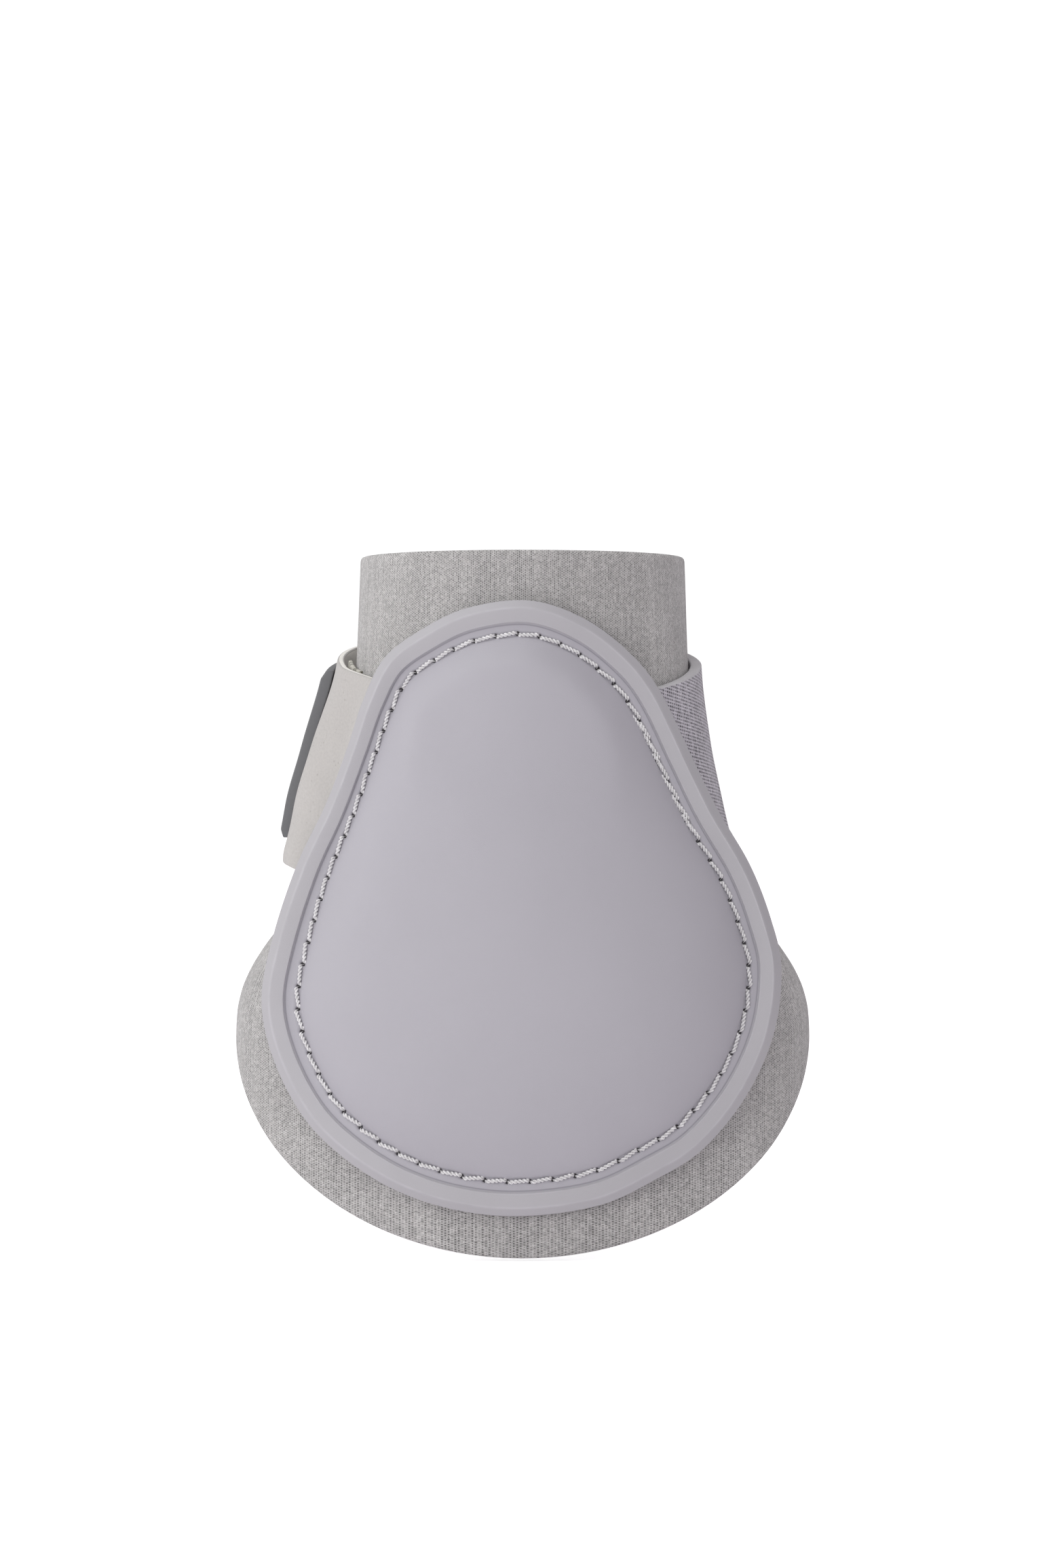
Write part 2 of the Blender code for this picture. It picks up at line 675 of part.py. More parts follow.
def backing_angle(v):
    """Angle at which the tab's backing starts, where the tab has left the wrap."""
    return -(exit_angle(-1.0, v) + STANDOFF_TURN * BACKING_START_SHARE)


def make_tab(collection):
    """Closure tab from under the shell's -X flank, with its backing, hook tape and badge."""
    split = GAP / COLLAR_HALF_WIDTH
    margin = TAPE_MARGIN / STRAP_WIDTH
    root_grid, tab_grid = TAB_GRIDS
    pivot = add_pivot("tab_pivot", hinge_line(
        tab_hinge_angle, lambda angle, v: tab_offset(angle, v) + TAB_THICKNESS))
    strap_layer("tab_root", lambda v: (tab_hinge_angle(v) + split, root_angle(-1.0, v)),
                (0.0, 1.0), tab_offset, TAB_THICKNESS, "tab_fabric", collection, root_grid)
    strap_layer("tab_backing", lambda v: (tab_hinge_angle(v) + split, backing_angle(v)),
                (0.0, 1.0),
                lambda angle, v: tab_offset(angle, v) - BACKING_CLEARANCE - BACKING_THICKNESS,
                BACKING_THICKNESS, "loop_tape", collection, BACKING_GRID)
    strap_layer("closure_tab", lambda v: (TAB_TIP_ANGLE, tab_hinge_angle(v) - split),
                (0.0, 1.0), tab_offset, TAB_THICKNESS, "tab_fabric", collection, tab_grid, pivot)
    strap_layer("hook_tape", lambda v: (TAPE_END_ANGLE, TAPE_START_ANGLE),
                (margin, 1.0 - margin),
                lambda angle, v: tab_offset(angle, v) - GAP - TAPE_THICKNESS,
                TAPE_THICKNESS, "hook_tape", collection, TAPE_GRID, pivot)
    badge = strap_layer("badge_plate",
                        lambda v: (BADGE_END_ANGLE, tab_hinge_angle(v) - BADGE_MARGIN_ANGLE),
                        (BADGE_LOW_SHARE, BADGE_HIGH_SHARE),
                        lambda angle, v: tab_offset(angle, v) + TAB_THICKNESS + GAP,
                        BADGE_THICKNESS, "badge_rubber", collection, BADGE_GRID, pivot)
    edge = badge.modifiers.new("chamfer", "BEVEL")
    edge.width = BADGE_CHAMFER
    edge.segments = 1
    edge.limit_method = "ANGLE"
    edge.angle_limit = CHAMFER_LIMIT_ANGLE


def main():
    """Build the whole boot."""
    clear_scene()
    collection = bpy.data.collections.new("fetlock_boot")
    bpy.context.scene.collection.children.link(collection)
    make_wrap(collection)
    make_shell(collection)
    make_pad(collection)
    make_elastic(collection)
    make_tab(collection)
    bpy.context.view_layer.update()


main()
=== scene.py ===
"""Looks of a fetlock boot: moulded shell, knitted neoprene wrap, elastic, closure tab and threads.

Metres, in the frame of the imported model: +Z up along the leg, and the shell faces -Y. Angles
round the leg start at the front and grow towards +X.
"""
import json
import logging
import math
from dataclasses import dataclass, field
from enum import Enum
from typing import Callable

import bmesh
import bpy
import numpy as np
from mathutils import Matrix, Vector


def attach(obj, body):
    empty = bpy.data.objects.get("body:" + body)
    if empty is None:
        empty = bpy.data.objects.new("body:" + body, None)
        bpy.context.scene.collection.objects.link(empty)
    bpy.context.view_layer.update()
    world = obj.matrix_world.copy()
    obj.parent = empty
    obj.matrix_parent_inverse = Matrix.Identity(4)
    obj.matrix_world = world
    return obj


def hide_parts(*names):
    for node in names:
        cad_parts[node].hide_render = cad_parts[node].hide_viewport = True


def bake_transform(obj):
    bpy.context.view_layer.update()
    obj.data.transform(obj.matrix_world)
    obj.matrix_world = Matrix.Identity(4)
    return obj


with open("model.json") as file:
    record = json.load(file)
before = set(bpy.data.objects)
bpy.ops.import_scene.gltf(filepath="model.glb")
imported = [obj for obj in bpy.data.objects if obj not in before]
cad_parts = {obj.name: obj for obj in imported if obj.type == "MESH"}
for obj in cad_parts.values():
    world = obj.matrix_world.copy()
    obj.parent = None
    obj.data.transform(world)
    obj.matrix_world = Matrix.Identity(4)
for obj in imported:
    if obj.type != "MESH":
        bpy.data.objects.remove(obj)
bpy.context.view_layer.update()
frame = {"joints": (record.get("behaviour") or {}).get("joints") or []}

LOG = logging.getLogger("fetlock_boot")
Array = np.ndarray
Places = tuple[Array, Array, Array, Array]
Pair = tuple[float, float]
Colour = tuple[float, float, float]
Item = bpy.types.Object
Material = bpy.types.Material
Tree = bpy.types.NodeTree
Socket = bpy.types.NodeSocket
GAP = 0.0003
BACKWARD = Vector((0.0, 1.0, 0.0))


class Slot(Enum):
    """Material slots of the record."""

    SHELL = "shell_polyurethane"
    KNIT = "neoprene_knit"
    LINING = "lining_knit"
    FOAM = "foam"
    ELASTIC = "elastic_webbing"
    TAB = "tab_fabric"
    HOOK = "hook_tape"
    LOOP = "loop_tape"
    BADGE = "badge_rubber"


class Hold(Enum):
    """How a sheet of cloth is held."""

    LAID = "laid"
    STRETCHED = "stretched"


class Side(Enum):
    """Side of the boot: the elastic leaves the shell on +X, the closure tab on -X."""

    ELASTIC = 1.0
    TAB = -1.0


def mix(first: Array | float, second: Array | float, share: Array | float) -> Array | float:
    """Value a share of the way from first to second."""
    return first + (second - first) * share


def ease(share: Array | float) -> Array | float:
    """Smooth step from 0 to 1."""
    share = np.clip(share, 0.0, 1.0)
    return share * share * (3.0 - 2.0 * share)


def unit(vectors: Array) -> Array:
    """Vectors of an array at length 1."""
    return vectors / np.linalg.norm(vectors, axis=-1, keepdims=True)


def softened(ring: Array, share: float) -> Array:
    """Values round a closed ring, averaged twice over a share of its length."""
    reach = max(1, int(len(ring) * share / 2.0))
    window = np.full(2 * reach + 1, 1.0 / (2 * reach + 1))
    for _ in range(2):
        ring = np.convolve(np.concatenate([ring[-reach:], ring, ring[:reach]]), window, "valid")
    return ring


def inward_of(ring: Array) -> Array:
    """Unit steps inwards, square to a closed ring of (x, z) points."""
    run = np.roll(ring, -1, axis=0) - np.roll(ring, 1, axis=0)
    return unit(np.stack([-run[:, 1], run[:, 0]], axis=-1))


@dataclass(frozen=True)
class Profile:
    """Smooth curve through (place, value) pairs that never overshoots."""

    pairs: tuple[Pair, ...]

    def at(self, place: Array | float) -> Array:
        """Read the curve.

        Args:
            place: Places along the table.

        Returns:
            The value at each place.
        """
        table = np.array(self.pairs)
        places, values = table[:, 0], table[:, 1]
        spans = np.diff(places)
        slopes = np.diff(values) / spans
        before, after = slopes[:-1], slopes[1:]
        same_way = before * after > 0.0
        total = np.where(same_way, before + after, 1.0)
        inner = np.where(same_way, 2.0 * before * after / total, 0.0)
        tangents = np.concatenate([slopes[:1], inner, slopes[-1:]])
        place = np.clip(place, places[0], places[-1])
        index = np.clip(np.searchsorted(places, place, side="right") - 1, 0, len(spans) - 1)
        span = spans[index]
        s = (place - places[index]) / span
        bend_in = s * (1.0 - s) ** 2 * span * tangents[index]
        bend_out = s * s * (s - 1.0) * span * tangents[index + 1]
        return mix(values[index], values[index + 1], ease(s)) + bend_in + bend_out


@dataclass(frozen=True)
class LegForm:
    """Outer face of the wrap, by the angle round the leg and the height."""

    height: float = 0.150
    collar_half_width: float = 0.0361
    bell_half_width: float = 0.0628
    hem_front_depth: float = 0.0565
    hem_side_height: float = 0.046
    front_arc_radius: float = 0.100
    front_arc_angle: float = math.radians(32.5)
    corner_radius_min: float = 0.003
    sine_limit: float = 0.95
    normal_step: float = math.radians(1.0)
    normal_rise: float = 0.0015
    width_shares: Profile = Profile((
        (0.0, 1.0), (0.307, 1.0), (0.333, 0.993), (0.365, 0.955), (0.393, 0.888),
        (0.423, 0.783), (0.453, 0.652), (0.480, 0.500), (0.507, 0.393), (0.533, 0.333),
        (0.560, 0.285), (0.600, 0.221), (0.647, 0.165), (0.727, 0.082), (0.833, 0.019),
        (1.0, 0.0),
    ))
    depth_shares: Profile = Profile((
        (0.0, 1.0), (0.167, 0.877), (0.333, 0.730), (0.467, 0.559), (0.600, 0.363),
        (0.733, 0.167), (0.867, 0.034), (1.0, 0.0),
    ))
    arc_shares: Profile = Profile((
        (0.0, 1.0), (0.333, 0.922), (0.453, 0.781), (0.533, 0.656), (0.647, 0.468),
        (0.727, 0.343), (0.833, 0.217), (0.933, 0.092), (1.0, 0.004),
    ))
    back_shares: Profile = Profile((
        (0.0, 0.30), (0.400, 0.30), (0.600, 0.10), (0.833, 0.02), (1.0, 0.0),
    ))

    def flared(self, hem_length: float, shares: Profile, z: Array) -> Array:
        """Length at a height, between the collar's half width and its value at the hem."""
        return mix(self.collar_half_width, hem_length, shares.at(z / self.height))

    def half_width(self, z: Array) -> Array:
        """Half the wrap's width at a height."""
        return self.flared(self.bell_half_width, self.width_shares, z)

    def front_depth(self, z: Array) -> Array:
        """Distance of the wrap's front from the leg's axis."""
        return self.flared(self.hem_front_depth, self.depth_shares, z)

    def arc_radius(self, z: Array) -> Array:
        """Radius of the broad front arc in plan."""
        return self.flared(self.front_arc_radius, self.arc_shares, z)

    def back_depth(self, z: Array) -> Array:
        """Distance of the wrap's back from the leg's axis."""
        return self.flared(self.bell_half_width, self.back_shares, z)

    def hem(self, angle: Array) -> Array:
        """Height of the slanted hem at an angle round the leg."""
        return self.hem_side_height * (1.0 - np.cos(angle))

    def point(self, angle: Array, z: Array) -> Array:
        """Place points on the outer face.

        Args:
            angle: Angles round the leg, 0 at the front.
            z: Heights.

        Returns:
            Points, with x, y and z along the last axis.
        """
        angle, z = np.broadcast_arrays(angle, z)
        wide, broad, depth = self.half_width(z), self.arc_radius(z), self.front_depth(z)
        sine = math.sin(self.front_arc_angle)
        corner = np.maximum((wide - broad * sine) / (1.0 - sine), self.corner_radius_min)
        rest = np.maximum(broad - corner, self.corner_radius_min)
        sine = np.clip((wide - corner) / rest, 0.0, self.sine_limit)
        centre_y = broad - depth - np.sqrt(1.0 - sine * sine) * (broad - corner)
        x = wide * np.sin(angle)
        across = np.abs(x)
        back = centre_y - (self.back_depth(z) - centre_y) * np.cos(angle)
        arc = broad - depth - np.sqrt(np.maximum(broad * broad - x * x, 0.0))
        reach = np.clip(across - (wide - corner), 0.0, corner)
        flank = centre_y - np.sqrt(np.maximum(corner * corner - reach * reach, 0.0))
        y = np.where(np.cos(angle) < 0.0, back, np.where(across <= broad * sine, arc, flank))
        return np.stack([x, y, z], axis=-1)

    def round_leg(self, angle: Array, z: Array) -> Array:
        """Small level step round the outer face."""
        turn = self.normal_step
        return self.point(angle + turn, z) - self.point(angle - turn, z)

    def normal(self, angle: Array, z: Array) -> Array:
        """Outward normal of the outer face."""
        rise = self.normal_rise
        up_leg = self.point(angle, z + rise) - self.point(angle, z - rise)
        return unit(np.cross(self.round_leg(angle, z), up_leg))

    def plan_normal(self, angle: Array, z: Array) -> Array:
        """Level outward normal of the section at a height."""
        return unit(np.cross(self.round_leg(angle, z), np.array([0.0, 0.0, 1.0])))

    def inside(self, angle: Array, z: Array, depth: Array) -> Array:
        """Points a depth inside the outer face, at the same heights."""
        angle, z, depth = np.broadcast_arrays(angle, z, depth)
        lifted = z + self.normal(angle, z)[..., 2] * depth
        points = self.point(angle, lifted) - self.normal(angle, lifted) * depth[..., None]
        points[..., 2] = z
        return points


@dataclass(frozen=True)
class ShellForm:
    """Pear outline of the shell and the arc that it is moulded on."""

    leg: LegForm
    half_width: float = 0.0558
    height: float = 0.1297
    foot: float = 0.0092
    centre_share: float = 0.42
    narrowing_share: float = 0.13
    narrowing_centre: Pair = (-0.70, 0.72)
    narrowing_reach: float = 0.20
    channel_start: float = 0.0052
    widening: float = 0.00075
    widening_centre: Pair = (-0.97, 0.35)
    widening_reach: float = 0.30
    edge_level: float = GAP + 0.0036
    seam_inset: float = 0.0072
    pitch: float = 0.0048
    columns_per_stitch: int = 15
    fine_steps: int = 4096
    arc_steps: int = 300
    first_hole: Pair = (-0.0105, 0.1304)
    outline_shares: tuple[Pair, ...] = (
        (0.0, 0.0), (0.287, 0.016), (0.502, 0.056), (0.681, 0.102), (0.850, 0.185),
        (0.962, 0.285), (0.998, 0.392), (0.960, 0.475), (0.880, 0.565), (0.755, 0.657),
        (0.650, 0.750), (0.541, 0.847), (0.430, 0.909), (0.250, 0.968), (0.030, 1.0),
        (-0.215, 0.988), (-0.402, 0.951), (-0.540, 0.906), (-0.621, 0.837), (-0.682, 0.757),
        (-0.762, 0.665), (-0.872, 0.565), (-0.960, 0.450), (-1.004, 0.345), (-0.960, 0.252),
        (-0.842, 0.157), (-0.690, 0.093), (-0.484, 0.040), (-0.251, 0.009),
    )

    def flank(self, side: Side, z: Array) -> Array:
        """Half width of the outline on one side, by height."""
        pairs = sorted((h, side.value * w * self.half_width)
                       for w, h in self.outline_shares if side.value * w > 0.0)
        return Profile(tuple(pairs)).at((z - self.foot) / self.height)

    def fine_outline(self) -> Array:
        """Closely spaced (x, z) points of the smooth closed outline."""
        shares = np.array(self.outline_shares)
        size = len(shares)
        place = np.arange(self.fine_steps) * size / self.fine_steps
        index = place.astype(int)
        s = (place - index)[:, None]
        a, b, c, d = (shares[(index + k) % size] for k in (-1, 0, 1, 2))
        points = 0.5 * (2.0 * b + (c - a) * s + (2.0 * a - 5.0 * b + 4.0 * c - d) * s ** 2
                        + (3.0 * b - a - 3.0 * c + d) * s ** 3)
        return points * (self.half_width, self.height) + (0.0, self.foot)

    def nearness(self, points: Array, centre: Pair, reach: float) -> Array:
        """How near (x, z) points are to a place given in shares of the outline, from 0 to 1."""
        x = points[:, 0] / self.half_width - centre[0]
        z = (points[:, 1] - self.foot) / self.height - centre[1]
        return np.exp(-(x * x + z * z) / reach ** 2)

    def inset(self, outline: Array, inward: Array, inset: Array | float) -> Array:
        """Points (x, z) inside the outline; along the -X flank the channel is wider."""
        near = self.nearness(outline, self.widening_centre, self.widening_reach)
        share = ease((inset - self.channel_start) / (self.seam_inset - self.channel_start))
        return outline + inward * (inset + self.widening * near * share)[:, None]

    def columns(self) -> tuple[Array, Array, int]:
        """Space the outline's points evenly along the seam.

        Returns:
            Outline points, inward steps for one metre of inset, and the count of stitches.
        """
        outline = self.fine_outline()
        inward = inward_of(outline)
        near = self.nearness(outline, self.narrowing_centre, self.narrowing_reach)
        inward = inward * (1.0 - self.narrowing_share * near)[:, None]
        seam = self.inset(outline, inward, self.seam_inset)
        start = int(np.argmin(np.linalg.norm(seam - self.first_hole, axis=1)))
        outline, inward, seam = (np.roll(x, -start, axis=0) for x in (outline, inward, seam))
        closed = np.vstack([seam, seam[:1]])
        steps = np.linalg.norm(np.diff(closed, axis=0), axis=1)
        lengths = np.concatenate([[0.0], np.cumsum(steps)])
        stitches = round(lengths[-1] / self.pitch)
        targets = np.linspace(0.0, lengths[-1], stitches * self.columns_per_stitch + 1)[:-1]

        def spaced(values: Array) -> Array:
            """Values read at the evenly spaced targets."""
            loop = np.vstack([values, values[:1]])
            return np.stack([np.interp(targets, lengths, loop[:, k]) for k in (0, 1)], axis=-1)

        return spaced(outline), spaced(inward), stitches

    def base(self, points: Array) -> tuple[Array, Array]:
        """Points of the broad front arc under (x, z) points, and its outward normals."""
        def arc(x: Array, z: Array) -> Array:
            """Points of the arc, with x, y and z along the last axis."""
            broad = self.leg.arc_radius(z)
            x_in = np.minimum(np.abs(x), broad)
            depth = broad - self.leg.front_depth(z) - np.sqrt(broad * broad - x_in * x_in)
            return np.stack([x, depth, z], axis=-1)

        step = self.leg.height / self.arc_steps
        x, z = points[..., 0], points[..., 1]
        across = arc(x + step, z) - arc(x - step, z)
        up = arc(x, z + step) - arc(x, z - step)
        return arc(x, z), unit(np.cross(across, up))

    def raised(self, points: Array, height: Array | float,
               level: Array | float | None = None) -> Array:
        """Lift points off the arc.

        Args:
            points: Their (x, z) places as seen from the front.
            height: How far they are lifted.
            level: Height at which they are seen at these places, by default the edge's.

        Returns:
            The points.
        """
        lean = self.base(points)[1][..., [0, 2]]
        level = np.broadcast_to(self.edge_level if level is None else level, points.shape[:-1])
        base, normal = self.base(points - lean * level[..., None])
        lift = np.broadcast_to(height, points.shape[:-1])
        return base + normal * lift[..., None]

    def centre(self) -> Array:
        """The (x, z) point that the domed panel closes on."""
        return np.array([0.0, self.foot + self.centre_share * self.height])


@dataclass(frozen=True)
class StrapForm:
    """A strap of one side: its band, its ends and how far it stands off the wrap."""

    shell: ShellForm
    side: Side
    width: float = 0.046
    top: float = 0.126
    rises: Pair = (0.008, 0.008)
    drops: Pair = (0.0, 0.0)
    thickness: float = 0.0016
    tape: float = 0.0010
    clearance: float = 0.0007
    standoff: float = 0.0084
    standoff_shares: Profile = Profile((
        (0.0, 0.83), (0.06, 0.91), (0.26, 0.925), (0.52, 0.79), (1.0, 0.27)))
    overlap_angle: float = math.radians(132)
    exit_sharpness: float = 12.0
    standoff_turn: float = math.radians(20)
    root_inset: float = 0.0083
    root_height_angle: float = math.radians(60)
    root_limit_angle: float = math.radians(80)

    def height(self, angle: Array, v: Array) -> Array:
        """Height on the strap at a share of its width from its lower edge."""
        ahead = np.cos(angle)
        drop = mix(*self.rises, v) * ahead + mix(*self.drops, v) * np.maximum(ahead, 0.0)
        return self.top - drop - self.width * (1.0 - v)

    def exit_angle(self, v: Array) -> Array:
        """Angle at which the strap leaves the wrap under the rim."""
        z = self.height(self.root_height_angle, v)
        reach = self.shell.flank(self.side, z) / self.shell.leg.half_width(z)
        power = self.exit_sharpness
        return np.arcsin(reach / (1.0 + reach ** power) ** (1.0 / power))

    def root_angle(self, v: Array) -> Array:
        """Angle at which the sewn end lies, inside the seam of the flank."""
        z = self.height(self.root_height_angle, v)
        reach = (self.shell.flank(self.side, z) - self.root_inset) / self.shell.leg.half_width(z)
        return self.side.value * np.arcsin(np.minimum(reach, math.sin(self.root_limit_angle)))

    def offset(self, angle: Array, v: Array) -> Array:
        """Distance of the strap's inner face from the wrap."""
        leaves = self.exit_angle(v)
        clear = ease((np.abs(angle) - leaves) / self.standoff_turn)
        if self.side is Side.ELASTIC:
            return mix(GAP, self.clearance, clear)
        overlap = self.clearance + self.thickness + self.tape * 2.0 + GAP * 3.0
        free = self.standoff * self.standoff_shares.at(v)
        full = leaves + self.standoff_turn
        settle = ease((np.abs(angle) - full) / (self.overlap_angle - full))
        return mix(mix(GAP, free, clear), overlap, settle)

    def point(self, angle: Array, v: Array, lift: Array | float) -> Array:
        """Points of the strap, lifted off its inner face."""
        angle, v = np.broadcast_arrays(angle, v)
        leg, z = self.shell.leg, self.height(angle, v)
        away = self.offset(angle, v) + lift
        return leg.point(angle, z) + leg.plan_normal(angle, z) * away[..., None]


@dataclass
class Sheet:
    """A sheet of cloth or tape with rounded edges, laid over a grid of shares.

    place takes shares u and v and the depth below the outer face, and gives points. pattern
    gives the UV map, in metres, from the same shares.
    """

    name: str
    place: Callable[[Array, Array, Array], Array]
    pattern: Callable[[Array, Array], Array]
    size: Pair
    thickness: float
    grid: tuple[int, int]
    lip: float = 0.0005
    flush_start: bool = False
    flush_share: float = 0.1
    inner_slot: int = 0
    lip_turns: tuple[float, ...] = (math.radians(30), math.radians(60), math.radians(90))
    measuring_steps: int = 80

    def flat(self) -> tuple[Pair, float]:
        """Greatest width and length that the sheet is cut to, and the area of its cut."""
        shares = np.linspace(0.0, 1.0, self.measuring_steps)
        u, v = np.meshgrid(shares, shares, indexing="ij")
        points = self.place(u, v, np.full_like(u, self.thickness / 2.0))
        along, across = np.diff(points, axis=0), np.diff(points, axis=1)
        width = float(np.linalg.norm(along, axis=-1).sum(axis=0).max())
        length = float(np.linalg.norm(across, axis=-1).sum(axis=1).max())
        cells = np.cross(along[:, :-1], across[:-1])
        return (width, length), min(float(np.linalg.norm(cells, axis=-1).sum()), width * length)

    def declare(self, item: Item, held: Hold, rests_on: list[str]) -> None:
        """Report the sheet's flat size."""
        (width, length), area = self.flat()
        LOG.info("%s: cut %.4f x %.4f m, %.6f m2", self.name, width, length, area)

    def build(self) -> Item:
        """Make the closed mesh; its second material slot is the cut edge."""
        columns, rows = self.grid
        pad_u, pad_v = self.lip / self.size[0], self.lip / self.size[1]
        pad_start = 0.0 if self.flush_start else pad_u
        us = mix(pad_start, 1.0 - pad_u, np.linspace(0.0, 1.0, columns + 1))
        if self.flush_start:
            us[1] *= self.flush_share
        vs = mix(pad_v, 1.0 - pad_v, np.linspace(0.0, 1.0, rows + 1))
        u, v = (x.ravel() for x in np.meshgrid(us, vs, indexing="ij"))
        edge = [(i, 0) for i in range(columns)] + [(columns, j) for j in range(rows)]
        edge += [(columns - i, rows - j) for i, j in edge]
        i, j = np.array(edge).T
        out_u = (i == columns) * pad_u - (i == 0) * pad_start
        out_v = (j == rows) * pad_v - (j == 0) * pad_v
        turns = [(math.sin(a), self.lip * (1.0 - math.cos(a))) for a in self.lip_turns]
        loops = turns + [(reach, self.thickness - depth) for reach, depth in reversed(turns)]
        all_u = [u, u] + [us[i] + out_u * reach for reach, _ in loops]
        all_v = [v, v] + [vs[j] + out_v * reach for reach, _ in loops]
        depths = [np.zeros_like(u), np.full_like(u, self.thickness)]
        depths += [np.full(len(i), depth) for _, depth in loops]
        flat_u, flat_v, flat_depth = (np.concatenate(x) for x in (all_u, all_v, depths))
        points = self.place(flat_u, flat_v, flat_depth)

        size = len(u)
        at = np.arange(size).reshape(columns + 1, rows + 1)
        quads = np.stack([at[:-1, :-1], at[1:, :-1], at[1:, 1:], at[:-1, 1:]], axis=-1)
        quads = quads.reshape(-1, 4)
        border = i * (rows + 1) + j
        chain = [border] + [2 * size + k * len(i) + np.arange(len(i)) for k in range(len(loops))]
        chain.append(border + size)
        strips = [np.stack([a, np.roll(a, -1), np.roll(b, -1), b], axis=-1)
                  for a, b in zip(chain, chain[1:])]
        faces = np.concatenate([quads, quads[:, ::-1] + size] + strips)
        item = new_piece(self.name, points, faces.tolist())
        mesh = item.data
        set_uv(mesh, self.pattern(flat_u, flat_v)[faces.ravel()])
        core = np.zeros(len(faces), np.int32)
        core[len(quads):2 * len(quads)] = self.inner_slot
        first = 2 * len(quads) + len(turns) * len(i)
        core[first:first + len(i)] = 1
        mesh.polygons.foreach_set("material_index", core)
        orient(mesh)
        return item


def linked(name: str, data: bpy.types.ID) -> Item:
    """New object of the scene, at the origin."""
    item = bpy.data.objects.new(name, data)
    bpy.context.scene.collection.objects.link(item)
    return item


def new_piece(name: str, points: Array, faces: list) -> Item:
    """Object with a smooth-shaded mesh of points and faces."""
    mesh = bpy.data.meshes.new(name)
    mesh.from_pydata(points.tolist(), [], faces)
    mesh.shade_smooth()
    return linked(name, mesh)


def set_uv(mesh: bpy.types.Mesh, places: Array) -> None:
    """Give each face corner its place on the UV map."""
    layer = mesh.uv_layers.new(name="UVMap")
    layer.data.foreach_set("uv", places.astype(np.float32).ravel())


def orient(mesh: bpy.types.Mesh, sharp: float = math.radians(50)) -> None:
    """Point the faces of a closed mesh outwards, and mark its sharp edges."""
    build = bmesh.new()
    build.from_mesh(mesh)
    bmesh.ops.recalc_face_normals(build, faces=build.faces[:])
    build.to_mesh(mesh)
    build.free()
    mesh.set_sharp_from_angle(angle=sharp)


